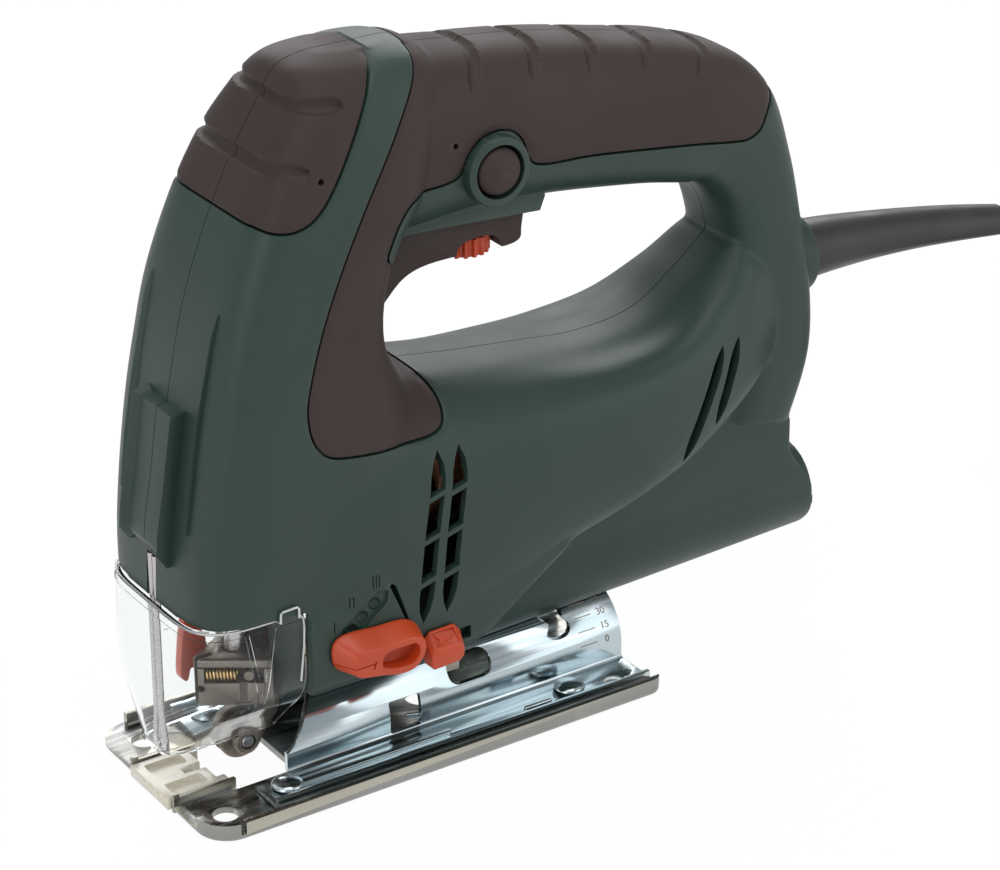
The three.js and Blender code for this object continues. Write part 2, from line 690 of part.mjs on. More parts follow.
// Everything that the shells leave room for.
function pockets() {
  const saddle = hole(archRadius + runGap, bracketFrontX - 5, bracketBackX + 4, 'x', [0, 0, archAxisZ], 28);
  const clampBay = join(
    slabXY(roundedShape(-66.5, -39, -17, 17, 3, 2), noseFloorZ - 1, bayRoofZ),
    box(-90, footFrontX, -60, 60, 0, noseFloorZ),
  );
  const forkSlot = join(
    box(footFrontX - 1, -30, -forkHalf - runGap, forkHalf + runGap, 20, forkPivotZ + 6),
    box(footFrontX - 1, leverX + 6, -forkHalf - runGap, forkHalf + runGap, 36, leverZ + camLobe + 0.6),
  );
  const duct = box(footFrontX - 1, 86, -ductHalfWidth, ductHalfWidth, archAxisZ + archRadius + 2.6, 38.5);
  const spoutBore = alongSpout(spoutRadius - spoutWall, 82, spoutEndX + 1);
  const wireSlit = box(-90, wireX + wireRadius + seatGap, -wireSpread - wireRadius - seatGap,
    wireSpread + wireRadius + seatGap, noseFloorZ - 1, wireTopZ + seatGap);
  const plungerHole = hole(bushRadius + seatGap, bayRoofZ - 1, bayRoofZ + wall + 1, 'z', [plungerX, 0, 0],
    14);
  const trigger = box(triggerFrontX - runGap, triggerBackX + runGap, -triggerHalfWidth - runGap,
    triggerHalfWidth + runGap, 125, lockZ + 1);
  const lock = hole(lockRadius + runGap, lockFaceY - 2, -9, 'y', [lockX, 0, lockZ], 22);
  const cam = hole(camShaftRadius + seatGap, -footHalfWidth - 2, 12, 'y', [leverX, 0, leverZ], 12);
  const sliderTrack = box(sliderFrontX + 3, sliderBackX + sliderTravel - 3, -footHalfWidth - 1,
    -footHalfWidth + 3, 38.6, 42.4);
  const cord = join(
    hole(reliefRadius + seatGap, reliefRootX + reliefCollarWidth, 160, 'x', [0, 0, cordExitZ], 16),
    hole(reliefRadius + reliefCollar + seatGap, reliefRootX - seatGap,
      reliefRootX + reliefCollarWidth + seatGap, 'x',
      [0, 0, cordExitZ], 16),
  );
  const forkPin = hole(forkPinRadius + seatGap, -forkPinHalf - seatGap, forkPinHalf + seatGap, 'y',
    [forkX, 0, forkPivotZ], 10);
  const clampScrew = hole(clampScrewRadius + seatGap, 20, clampScrewTopZ + seatGap, 'z', [clampX, 0, 0], 10);
  const releaseHole = hole(releasePinRadius + seatGap, 9, releasePinEndY + seatGap, 'y',
    [releaseX, 0, releasePivotZ], 8);
  return join(saddle, clampBay, forkSlot, duct, spoutBore, wireSlit, plungerHole, trigger, lock, cam,
    sliderTrack,
    cord, forkPin, clampScrew, releaseHole);
}

function housings() {
  const skin = bodyForm(0);
  const core = coreForm(gripDepth);
  const seatCore = coreForm(gripDepth + seatGap);
  const outer = join(skin, footForm(), spoutForm(), nosePanels(), lockBoss(), triggerSkirt(), cordBoss());
  const hollow = cavity();
  const ribs = join(
    motorRib(statorFrontX + 5, 2.4, statorRadius + seatGap),
    motorRib(statorFrontX + statorLength - 8, 2.4, statorRadius + seatGap),
    motorRib(rearBearingX - 1, 8, rearBearingRadius + seatGap),
  );
  const seats = join(ribs, switchSeats(), brushGuides());
  const inside = hollow.subtract(seats).subtract(screwBosses(outer));
  const softRegion = join(
    slabXZ(shapeOf(offsetOutline(gripOutline, gripSeam)), -45, 45),
    slabXZ(shapeOf(offsetOutline(padOutline, gripSeam)), -45, 45),
  ).subtract(seatCore);
  const keep = join(lockBoss(), triggerSkirt());
  const shell = outer.subtract(inside).subtract(softRegion.subtract(keep)).subtract(pockets())
    .subtract(screwHoles()).subtract(vents());
  piece('housing_left', shell.intersect(leftHalf), finishes.body);
  piece('housing_right', shell.intersect(rightHalf), finishes.body);
  const boss = rod(lockBossRadius + gripSeam, -40, 0, 'y', [lockX, 0, lockZ], 22);
  const clear = join(boss, rod(screwHeadRadius + 1, screwSeatY, 40, 'y',
    [screwPlaces[2][0], 0, screwPlaces[2][1]], 10));
  const grip = softPiece(gripOutline, skin, core).subtract(join(clear, gripGrooves(), triggerSkirt()));
  const pad = softPiece(padOutline, skin, core).subtract(join(padGrooves(), nosePanels()));
  piece('grip_left', grip.intersect(leftHalf), finishes.grip);
  piece('grip_right', grip.intersect(rightHalf), finishes.grip);
  piece('nose_pad_left', pad.intersect(leftHalf), finishes.grip);
  piece('nose_pad_right', pad.intersect(rightHalf), finishes.grip);
}

// ---- the model --------------------------------------------------------------------------------------
const group = new THREE.Group();
const leftHalf = box(-150, 250, -100, -seatGap / 2, -50, 300);
const rightHalf = box(-150, 250, seatGap / 2, 100, -50, 300);

function material(color, roughness, metalness = 0, opacity = 1) {
  return new THREE.MeshStandardMaterial({ color, roughness, metalness, opacity, transparent: opacity < 1 });
}

const finishes = {
  body: material(0x1f3a35, 0.55),
  grip: material(0x3a302c, 0.7),
  red: material(0xd8432b, 0.5),
  steel: material(0x9aa0a2, 0.35, 1),
  zinc: material(0xb7c3ca, 0.3, 1),
  dark: material(0x2a2523, 0.5, 0.6),
  brass: material(0xc0a060, 0.35, 1),
  copper: material(0xb87333, 0.4, 1),
  clear: material(0xe8eef0, 0.1, 0, 0.3),
  aluminium: material(0xb5b8ba, 0.45, 1),
  black: material(0x1b1b1c, 0.5),
  cream: material(0xe6dcb4, 0.3, 0, 0.7),
};

function piece(name, solid, finish) {
  const mesh = new THREE.Mesh(toGeometry(solid), finish);
  mesh.name = name;
  group.add(mesh);
}

function housingScrews() {
  screwPlaces.forEach(([x, z], i) => {
    const profile = [
      [0, -8.5], [screwRadius, -8.5], [screwRadius, screwSeatY + seatGap],
      [screwHeadRadius, screwSeatY + seatGap],
      [screwHeadRadius, screwSeatY + 3], [0, screwSeatY + 3],
    ];
    const socket = rod(1.6, screwSeatY + 1.4, screwSeatY + 4, 'y', [x, 0, z], 6);
    piece(`housing_screw_${i + 1}`, turned(profile, 'y', [x, 0, z], 8).subtract(socket), finishes.steel);
  });
}

// ---- motor and gears ------------------------------------------------------------------------------
// Involute gear outline in Y and Z; one tooth points along +Y turned by the given angle.
function gearShape(teeth, turn, backlash = 0.22) {
  const pitch = (toothModule * teeth) / 2;
  const base = pitch * Math.cos((20 * Math.PI) / 180);
  const tip = pitch + 0.92 * toothModule;
  const root = pitch - 1.2 * toothModule;
  const spread = (r) => {
    const a = Math.acos(Math.min(1, base / Math.max(r, base)));
    return Math.tan(a) - a;
  };
  const halfAt = (r) => Math.PI / 2 / teeth - backlash / 2 / pitch + spread(pitch) - spread(r);
  const points = [];
  for (let k = 0; k < teeth; k += 1) {
    const centre = turn + (2 * Math.PI * k) / teeth;
    for (const [r, side] of [[root, -1], [tip, -1], [tip, 1], [root, 1]]) {
      const angle = centre + side * halfAt(r);
      points.push([r * Math.cos(angle), r * Math.sin(angle)]);
    }
  }
  return shapeOf(points);
}

function driveGear() {
  const back = gearFrontX + gearWidth;
  const disc = slabYZ(gearShape(gearTeeth, -Math.PI / 2), gearFrontX, back);
  const web = disc.translate([0, 0, gearZ]);
  const hub = rod(8, gearFrontX, gearCaseX - seatGap, 'x', [0, 0, gearZ], 16);
  const pin = rod(crankPinRadius, gearFrontX + 1, plungerX + plungerRadius + 0.6, 'x', [0, 0, crankPinZ], 12);
  const boss = rod(crankPinRadius + 2, gearFrontX - 0.8, back, 'x', [0, 0, crankPinZ], 12);
  const holes = [1, 2, 3, 4, 5].map((k) => {
    const angle = -Math.PI / 2 + (k * Math.PI) / 3;
    return rod(3.6, gearFrontX - 2, back + 2, 'x', [0, 14.6 * Math.cos(angle),
      gearZ + 14.6 * Math.sin(angle)], 8);
  });
  const bore = hole(axleRadius + seatGap, gearFrontX - 3, gearCaseX + 3, 'x', [0, 0, gearZ], 16);
  piece('drive_gear', join(web, hub, pin, boss).subtract(join(...holes)).subtract(bore), finishes.steel);
  const head = gearFrontX - seatGap - 1.2;
  const axle = [
    [0, head], [axleRadius + 1.4, head], [axleRadius + 1.4, head + 1.2], [axleRadius, head + 1.2],
    [axleRadius, gearCaseX + gearCaseWidth], [0, gearCaseX + gearCaseWidth],
  ];
  piece('gear_axle', turned(axle, 'x', [0, 0, gearZ], 16), finishes.steel);
}

function motor() {
  const rear = rearBearingX + 7;
  const pinion = slabYZ(gearShape(pinionTeeth, Math.PI / 2 + Math.PI / pinionTeeth), gearFrontX - 0.5,
    gearCaseX - 2.4).translate([0, 0, motorZ]);
  const shaft = join(
    rod(shaftRadius - 0.2, gearFrontX, gearCaseX, 'x', [0, 0, motorZ], 16),
    rod(shaftRadius, gearCaseX - 0.6, rear, 'x', [0, 0, motorZ], 16),
  );
  piece('armature_shaft', join(pinion, shaft), finishes.steel);
  const slots = 12;
  const slotPoints = [];
  for (let k = 0; k < slots; k += 1) {
    for (const [r, part] of [[12, 0.06], [12, 0.74], [8.4, 0.7], [8.4, 0.1]]) {
      const angle = (2 * Math.PI * (k + part)) / slots;
      slotPoints.push([r * Math.cos(angle), r * Math.sin(angle)]);
    }
  }
  const core = slabYZ(shapeOf(slotPoints), statorFrontX + 2, statorFrontX + statorLength - 4)
    .translate([0, 0, motorZ]);
  const bore = hole(shaftRadius + seatGap, 0, 100, 'x', [0, 0, motorZ], 16);
  piece('armature_core', core.subtract(bore), finishes.copper);
  piece('commutator', tube(shaftRadius + seatGap, commutatorRadius, commutatorX,
    commutatorX + commutatorLength, 'x',
    [0, 0, motorZ], 24),
    finishes.copper);
  const stator = tube(13, statorRadius, statorFrontX, statorFrontX + statorLength, 'x', [0, 0, motorZ], 32);
  const coilRoom = (side) => rod(19, statorFrontX - 4, statorFrontX + statorLength + 4, 'x', [0, 0, motorZ],
    32)
    .subtract(rod(13.6, statorFrontX - 5, statorFrontX + statorLength + 5, 'x', [0, 0, motorZ], 32))
    .intersect(side < 0 ? box(-10, 90, -30, -7, 0, 200) : box(-10, 90, 7, 30, 0, 200));
  const pocket = (side) => hole(19 + seatGap, 0, 90, 'x', [0, 0, motorZ], 32)
    .intersect(side < 0 ? box(-10, 90, -30, -7 + seatGap, 0, 200) : box(-10, 90, 7 - seatGap, 30, 0, 200));
  piece('stator', stator.subtract(join(pocket(-1), pocket(1))), finishes.steel);
  piece('field_coil_left', coilRoom(-1), finishes.copper);
  piece('field_coil_right', coilRoom(1), finishes.copper);
  const blade = (k) => {
    const geometry = new THREE.BoxGeometry(8, 14, 1.4);
    geometry.translate(fanX + 5, fanRadius - 8, 0);
    geometry.rotateX((2 * Math.PI * k) / 9);
    geometry.translate(0, 0, motorZ);
    return toSolid(geometry);
  };
  const blades = Array.from({ length: 9 }, (_, k) => blade(k));
  const disc = join(rod(fanRadius, fanX, fanX + 1.6, 'x', [0, 0, motorZ], 32),
    rod(7, fanX, fanX + 10, 'x', [0, 0, motorZ], 20));
  piece('fan', join(disc, ...blades).subtract(hole(shaftRadius + seatGap, fanX - 2, fanX + 14, 'x',
    [0, 0, motorZ], 16)),
    finishes.black);
  piece('front_bearing', tube(shaftRadius + seatGap, bearingRadius, gearCaseX, gearCaseX + 6, 'x',
    [0, 0, motorZ], 20),
    finishes.steel);
  piece('rear_bearing', tube(shaftRadius + seatGap, rearBearingRadius, rearBearingX, rearBearingX + 6, 'x',
    [0, 0, motorZ], 20),
    finishes.steel);
  const brush = (y0, y1) => box(brushX - brushHalfX, brushX + brushHalfX, y0, y1, motorZ - brushHalfZ,
    motorZ + brushHalfZ);
  const touch = commutatorRadius + seatGap;
  const round = rod(touch, brushX - 6, brushX + 6, 'x', [0, 0, motorZ], 24);
  piece('brush_left', brush(-23, -7).subtract(round), finishes.black);
  piece('brush_right', brush(7, 23).subtract(round), finishes.black);
}

function gearCase() {
  const slab = box(gearCaseX, gearCaseX + gearCaseWidth, -40, 40, 60 + seatGap, upperGuideZ - 2);
  const fill = join(noseRoom(wall + seatGap)
    .intersect(box(-80, 40, -40, 40, bayRoofZ + wall + seatGap, 220)),
    motorRoom(wall + seatGap));
  const bores = join(
    hole(bearingRadius + seatGap, gearCaseX - 1, gearCaseX + 9, 'x', [0, 0, motorZ], 20),
    hole(axleRadius + seatGap, gearCaseX - 1, gearCaseX + 9, 'x', [0, 0, gearZ], 20),
  );
  piece('gear_case', fill.intersect(slab).subtract(bores), finishes.aluminium);
}

// ---- blade drive ------------------------------------------------------------------------------------
function bladeDrive() {
  piece('plunger', rod(plungerRadius, clampBottomZ + 3 + seatGap, plungerTopZ, 'z', [plungerX, 0, 0], 20),
    finishes.steel);
  const slotHalfY = crankRadius + crankPinRadius + 0.7;
  const slotHalfZ = crankPinRadius + 2.75; // room for the open pivot of the crank
  const yokeFront = plungerX + plungerRadius + seatGap;
  const outline = roundedShape(-slotHalfY - 3.8, slotHalfY + 3.8, crankPinZ - slotHalfZ - 2.8,
    crankPinZ + slotHalfZ + 2.8, 4, 3);
  const slot = roundedShape(-slotHalfY, slotHalfY, crankPinZ - slotHalfZ, crankPinZ + slotHalfZ, 3, 3);
  piece('crank_yoke', slabYZ(outline, yokeFront, yokeFront + yokeThickness)
    .subtract(slabYZ(slot, yokeFront - 1, yokeFront + 6)),
    finishes.steel);
  const plungerBore = hole(plungerRadius + seatGap, 60, 150, 'z', [plungerX, 0, 0], 20);
  const guide = (z0, z1, front, back) => noseRoom(wall + seatGap + 0.1)
    .intersect(box(front, back, -40, 40, z0, z1));
  piece('upper_guide', guide(upperGuideZ, upperGuideZ + guideHeight, -60, -40)
    .subtract(plungerBore), finishes.brass);
  const floor = bayRoofZ + wall + seatGap;
  const bush = rod(bushRadius, bayRoofZ, floor + 1, 'z', [plungerX, 0, 0], 20);
  piece('lower_guide', join(guide(floor, floor + 7, -57, -41), bush).subtract(plungerBore), finishes.brass);
}

function bladeClamp() {
  const body = slabXY(roundedShape(clampFrontX, clampBackX, -clampHalf, clampHalf, 2.5, 2), clampBottomZ,
    clampTopZ);
  const socket = hole(plungerRadius + seatGap, clampBottomZ + 3, clampTopZ + 1, 'z', [plungerX, 0, 0], 20);
  const bladeSlot = box(clampFrontX - 1, rollerX - rollerRadius, -0.9, 0.9, clampBottomZ - 1, clampTopZ + 1);
  const springX = clampFrontX + 1.6;
  const bed = hole(springRadius + springWire + seatGap, springX - 0.6, springX + springLength + 0.6, 'x',
    [0, -clampHalf, springZ], 14);
  const step = box(clampFrontX - 1, clampFrontX + 5, -20, -clampHalf + 3, clampBottomZ - 1,
    clampBottomZ + 4.5);
  piece('blade_clamp', body.subtract(join(socket, bladeSlot, bed, step)), finishes.dark);
  class Coil extends THREE.Curve {
    getPoint(t, target = new THREE.Vector3()) {
      const angle = 2 * Math.PI * springTurns * t;
      return target.set(
        springX + springWire + (springLength - 2 * springWire) * t,
        -clampHalf + springRadius * Math.cos(angle),
        springZ + springRadius * Math.sin(angle),
      );
    }
  }
  const wire = new THREE.Shape();
  wire.absarc(0, 0, springWire, 0, 2 * Math.PI);
  const section = new THREE.Shape(wire.getPoints(2).slice(0, -1));
  const geometry = new THREE.ExtrudeGeometry(section,
    { steps: springTurns * 7, extrudePath: new Coil(), bevelEnabled: false });
  piece('clamp_spring', toSolid(geometry), finishes.brass);
}
function releaseLever() {
  const outline = shapeOf([
    [-51.4, 66], [-51.4, 58], [-52.4, 44], [-50.6, 31], [-51.6, 25.6], [-53.4, 24.4], [-54.6, 28.6],
    [-56.2, 29], [-57.6, 24.6], [-59.2, 26.4], [-58.6, 36], [-57.4, 48], [-58.6, 58], [-58.6, 66],
  ]);
  const y1 = releaseInnerY + releaseThickness;
  const eye = hole(releasePinRadius + seatGap, 0, 30, 'y', [releaseX, 0, releasePivotZ], 12);
  piece('release_lever', softSlabXZ(outline, releaseInnerY, y1, 0.7, 1).subtract(eye), finishes.red);
  piece('release_pin', rod(releasePinRadius, releaseInnerY, releasePinEndY, 'y',
    [releaseX, 0, releasePivotZ], 12), finishes.steel);
}

function guideRoller() {
  const tail = leverZ - camLobe - seatGap;
  const outline = shapeOf([
    [-52.4, 10], [-51, 7.2], [-48.4, 6.4], [-45.6, 7.6], [-38, 20], [-33.4, 30], [-32.8, tail - 4],
    [leverX - 4.5, tail - 3.6],
    [leverX + 2, tail - 3], [leverX + 2, tail], [-30.6, tail], [-32.4, 46], [-32.6, 54], [-34, 56.4],
    [-38, 56.4], [-39.6, 54], [-39.6, 27], [-43.4, 21.4], [-51.4, 13.6],
  ]);
  const body = slabXZ(outline, -forkHalf, forkHalf);
  const gap = box(-60, -31.6, -rollerHalf - runGap, rollerHalf + runGap, 0, forkPivotZ - 6);
  const holes = join(
    hole(2 + seatGap, -20, 20, 'y', [rollerX, 0, rollerZ], 12),
    hole(forkPinRadius + seatGap, -20, 20, 'y', [forkX, 0, forkPivotZ], 12),
  );
  piece('roller_fork', body.subtract(join(gap, holes)), finishes.dark);
  const r = rollerRadius;
  const profile = [
    [2.3, -rollerHalf], [r - 0.6, -rollerHalf], [r, -rollerHalf + 0.6], [r, -1.2], [r - 1.4, 0], [r, 1.2],
    [r, rollerHalf - 0.6], [r - 0.6, rollerHalf], [2.3, rollerHalf], [2.3, -rollerHalf],
  ];
  piece('guide_roller', turned(profile, 'y', [rollerX, 0, rollerZ], 18), finishes.dark);
  piece('roller_pin', rod(2, -forkHalf, forkHalf, 'y', [rollerX, 0, rollerZ], 12), finishes.steel);
  piece('fork_pin', rod(forkPinRadius, -forkPinHalf, forkPinHalf, 'y', [forkX, 0, forkPivotZ], 12),
    finishes.steel);
}

function orbitLever() {
  const outline = shapeOf([
    [-36.8, 41.6], [-34.4, 38.6], [-26, 37.2], [-15, 37.4], [-10.4, 39.4], [-8.4, 43], [-8.8, 47.4],
    [-11.6, 51.4],
    [-16, 53.2], [-24, 52.4], [-34.6, 47.8], [-36.6, 45],
  ]);
  const grip = softSlabXZ(outline, leverFaceY, -footHalfWidth - seatGap, 0.9, 2);
  const finger = softSlabXZ(shapeOf([[-29, 43.6], [-23.6, 41.4], [-20.4, 42.6], [-20, 46.6], [-23, 48.4]]),
    leverFaceY - 2, -footHalfWidth + 2, 0.1, 1);
  const hub = rod(camShaftRadius + 0.3, leverFaceY + 1.4, -footHalfWidth + 2, 'y', [leverX, 0, leverZ], 16);
  piece('orbit_lever', grip.subtract(join(finger, hub)), finishes.red);
  const flat = box(leverX - 6, leverX + 6, -forkHalf + seatGap, forkHalf - seatGap, leverZ - 8, leverZ - 3);
  const cam = join(
    rod(camShaftRadius, leverFaceY + 1.7, 11.5, 'y', [leverX, 0, leverZ], 16),
    rod(camLobe, -forkHalf + 0.6, forkHalf - 0.6, 'y', [leverX, 0, leverZ], 20),
  );
  piece('orbit_cam', cam.subtract(flat), finishes.steel);
}

function blowerSlider() {
  const outline = shapeOf([
    [sliderFrontX, 38], [sliderFrontX + 1.4, 35.2], [sliderBackX - 1, 34.9], [sliderBackX, 36.4],
    [sliderBackX - 0.6, 44.6],
    [sliderBackX - 2.4, 46], [sliderFrontX + 1.6, 45.4], [sliderFrontX, 43.6],
  ]);
  const cap = softSlabXZ(outline, leverFaceY + 0.4, -footHalfWidth - seatGap, 0.8, 1);
  const tongue = box(sliderFrontX + 3.4, sliderBackX - 3.4, -footHalfWidth - 1, -footHalfWidth + 2.6, 38.9,
    42.1);
  piece('blower_slider', join(cap, tongue), finishes.red);
}

// ---- guard and cover ----------------------------------------------------------------------------------
function guardWire() {
  const s = wireSpread;
  const path = new THREE.CatmullRomCurve3([
    [0, -s, wireTopZ], [0, -s, 62], [0, -s, 48], [0, -s, 34], [0, -s, 26], [0, -2.1, 20], [0, -2.6, 16],
    [0, -1.4, 13.6],
    [0, 1.4, 13.6], [0, 2.6, 16], [0, 2.1, 20], [0, s, 26], [0, s, 34], [0, s, 48], [0, s, 62],
    [0, s, wireTopZ],
  ].map(([x, y, z]) => new THREE.Vector3(wireX + x, y, z)), false, 'centripetal');
  const ring = new THREE.Shape();
  ring.absarc(0, 0, wireRadius, 0, 2 * Math.PI);
  const section = new THREE.Shape(ring.getPoints(3).slice(0, -1));
  piece('guard_wire', toSolid(new THREE.ExtrudeGeometry(section,
    { steps: 24, extrudePath: path, bevelEnabled: false })),
    finishes.steel);
}

// Clear chip cover: height, front x, half width.
const coverLevels = [
  [noseFloorZ - seatGap, -74.2, 28.6], [50, -74.8, 28.6], [40, -75.2, 28.4], [33, -75.4, 25.4],
  [24, -75.4, 17], [15.2, -75.2, 8.8],
];
function clearCover() {
  const shell = (inset) => loft(coverLevels.map(([z, front, half], i) => {
    const ring = [];
    const level = z + (inset > 0 ? (i === 0 ? 1 : i === coverLevels.length - 1 ? -1 : 0) : 0);
    const around = 22;
    for (let k = 0; k < around; k += 1) {
      const turn = (2 * Math.PI * (k + 0.5)) / around;
      const [c, sn] = [Math.cos(turn), Math.sin(turn)];
      const reach = c < 0 ? -44 - front - inset : 20;
      ring.push(new THREE.Vector3(-44 + reach * power(c, 2 / 5), (half - inset) * power(sn, 2 / 5), level));
    }
    return ring;
  }));
  const open = box(coverBackX, 20, -60, 60, -10, 90);
  piece('clear_cover', shell(0).subtract(shell(coverWall)).subtract(open), finishes.clear);
}

// ---- base -----------------------------------------------------------------------------------------------
const rivetY = (archRadius + bracketHalfWidth - bracketSheet) / 2; // in the middle of the flat foot
const [rivetFrontX, rivetBackX] = [bracketFrontX + 7.5, bracketBackX - 23.5];
const hangHoleY = bracketHalfWidth - 4.2;
const rivetPlaces = [[rivetFrontX, -rivetY], [rivetFrontX, rivetY], [rivetBackX, -rivetY],
  [rivetBackX, rivetY]];

function basePlate() {
  const [hx, hy] = [baseLength / 2, baseWidth / 2];
  const front = new THREE.Shape();
  front.moveTo(-hx + 10, -hy);
  front.lineTo(hx - 4, -hy);
  front.absarc(hx - 4, -hy + 4, 4, -Math.PI / 2, 0);
  front.lineTo(hx, hy - 4);
  front.absarc(hx - 4, hy - 4, 4, 0, Math.PI / 2);
  front.lineTo(-hx + 10, hy);
  front.absarc(-hx + 10, hy - 10, 10, Math.PI / 2, Math.PI);
  front.lineTo(-hx, -hy + 10);
  front.absarc(-hx + 10, -hy + 10, 10, Math.PI, 1.5 * Math.PI);
  const outline = new THREE.Shape(front.getPoints(3));
  const plate = slabXY(outline, 0, flangeTopZ);
  const tray = slabXY(roundedShape(-hx + sheet, hx + 8, -hy + sheet, hy - sheet, 8, 3), sheet,
    flangeTopZ + 1);
  const rims = join(
    box(-hx - 1, -hx + 12, -hy + 25, hy - 25, -1, flangeTopZ + 1),
    box(-hx + 8.6, -hx + 10.2, -hy - 1, -hy + 5, sheet, flangeTopZ + 1),
    box(-hx + 8.6, -hx + 10.2, hy - 5, hy + 1, sheet, flangeTopZ + 1),
  );
  const slot = box(-hx - 1, -56, -insertHalfWidth - seatGap, insertHalfWidth + seatGap, -1, flangeTopZ + 1);
  const opening = slabXY(roundedShape(-60, -37, -openingHalfWidth, openingHalfWidth, 4, 2), -1,
    flangeTopZ + 1);
  const keyHole = rod(5, -1, 4, 'z', [clampX, 0, 0], 14);
  const holes = [[-65.7, -baseWidth / 2 + 12], [-65.7, baseWidth / 2 - 12], [63.8, -hangHoleY],
    [63.8, hangHoleY]].map(([x, y]) => rod(3.8, -1, 4, 'z', [x, y, 0], 12));
  const inner = join(
    box(-hx, -56, -insertHalfWidth - seatGap - 1.2, -insertHalfWidth - seatGap, 0, flangeTopZ - 1),
    box(-hx, -56, insertHalfWidth + seatGap, insertHalfWidth + seatGap + 1.2, 0, flangeTopZ - 1),
  );
  const rivets = rivetPlaces.map(([x, y]) => hole(rivetRadius + seatGap, -1, 4, 'z', [x, y, 0], 8));
  const cut = join(tray, rims.subtract(box(-hx - 2, -hx + 13, -40, 40, -2, sheet)), slot, opening, keyHole,
    ...holes, ...rivets);
  piece('base_plate', join(plate.subtract(cut), inner), finishes.steel);
}

function bevelBracket() {
  const low = sheet + seatGap;
  const [outer, inner] = [archRadius, archRadius - bracketSheet];
  const shape = new THREE.Shape();
  shape.moveTo(-bracketHalfWidth, low);
  shape.lineTo(-inner, low);
  shape.lineTo(-inner, archAxisZ);
  shape.absarc(0, archAxisZ, inner, Math.PI, 0, true);
  shape.lineTo(inner, low);
  shape.lineTo(bracketHalfWidth, low);
  shape.lineTo(bracketHalfWidth, low + 3.6);
  shape.lineTo(bracketHalfWidth - bracketSheet, low + 3.6);
  shape.lineTo(bracketHalfWidth - bracketSheet, low + bracketSheet);
  shape.lineTo(outer, low + bracketSheet);
  shape.lineTo(outer, archAxisZ);
  shape.absarc(0, archAxisZ, outer, 0, Math.PI, false);
  shape.lineTo(-outer, low + bracketSheet);
  shape.lineTo(-bracketHalfWidth + bracketSheet, low + bracketSheet);
  shape.lineTo(-bracketHalfWidth + bracketSheet, low + 3.6);
  shape.lineTo(-bracketHalfWidth, low + 3.6);
  const full = slabYZ(new THREE.Shape(shape.getPoints(6)), bracketFrontX, bracketBackX);
  const frontCut = join(
    box(bracketFrontX - 1, archFrontX, -bracketFrontHalf, bracketFrontHalf, -1, 40),
    slabXZ(shapeOf([[archFrontX - 1, 14], [archFrontX + 12, 30], [archFrontX - 1, 30]]), -30, 30),
  );
  const tiltSlot = rod(archRadius + 2, clampX - 4.5, clampX + 4.5, 'x', [0, 0, archAxisZ], 24)
    .intersect(slabYZ(shapeOf([[0, archAxisZ], [40, archAxisZ + 26], [40, 60], [-40, 60],
      [-40, archAxisZ + 26]]), 0, 60));
  const notch = join(
    box(-12, -5, -22, -11, 12.5, 20.5), box(-12, -5, 11, 22, 12.5, 20.5),
    box(38, 47, -22, -13.5, 14.5, 18), box(38, 47, 13.5, 22, 14.5, 18),
  );
  const rivets = rivetPlaces.map(([x, y]) => hole(rivetRadius + seatGap, -1, 8, 'z', [x, y, 0], 8));
  const bead = (y) => box(-30, 44, y - 1.2, y + 1.2, low + bracketSheet - 0.2, low + bracketSheet + 0.9);
  const holes = [[63.8, -hangHoleY], [63.8, hangHoleY]].map(([x, y]) => rod(3.4, -1, 8, 'z', [x, y, 0], 12));
  const body = join(full, bead(-22.5), bead(22.5));
  piece('bevel_bracket', body.subtract(join(frontCut, tiltSlot, notch, ...rivets, ...holes)), finishes.zinc);
  const top = low + bracketSheet + seatGap;
  rivetPlaces.forEach(([x, y], i) => {
    const profile = [
      [0, seatGap], [rivetRadius, seatGap], [rivetRadius, top], [4.6, top], [4.6, top + 1], [3, top + 2.2],
      [0, top + 2.2],
    ];
    piece(`bracket_rivet_${i + 1}`, turned(profile, 'z', [x, y, 0], 10), finishes.zinc);
  });
}

function baseClamp() {
  const reach = archRadius - bracketSheet - runGap;
  const block = rod(reach, clampX - 8, clampX + 8, 'x', [0, 0, archAxisZ], 32)
    .intersect(box(clampX - 10, clampX + 10, -8.5, 8.5, 13, 40));
  const bore = hole(clampScrewRadius + seatGap, 0, 40, 'z', [clampX, 0, 0], 16);
  piece('base_clamp', block.subtract(bore), finishes.cream);
  const head = 13 - seatGap;
  const profile = [[0, head - 3.5], [4.2, head - 3.5], [4.2, head], [clampScrewRadius, head],
    [clampScrewRadius, clampScrewTopZ], [0, clampScrewTopZ]];
  piece('base_clamp_screw', turned(profile, 'z', [clampX, 0, 0], 16)
    .subtract(rod(2.2, head - 4, head - 1, 'z', [clampX, 0, 0], 6)),
    finishes.steel);
}

function splinterInsert() {
  const hx = baseLength / 2;
  const y = insertHalfWidth;
  const outline = shapeOf([
    [-hx - 1, -y], [-57, -y], [-57, -y + 3.4], [-59.6, -y + 3.4], [-59.6, -1.6], [-66, -1.2], [-66, 1.2],
    [-59.6, 1.6],
    [-59.6, y - 3.4], [-57, y - 3.4], [-57, y], [-hx - 1, y],
  ]);
  piece('splinter_insert', slabXY(outline, 0.5, 4), finishes.cream);
}

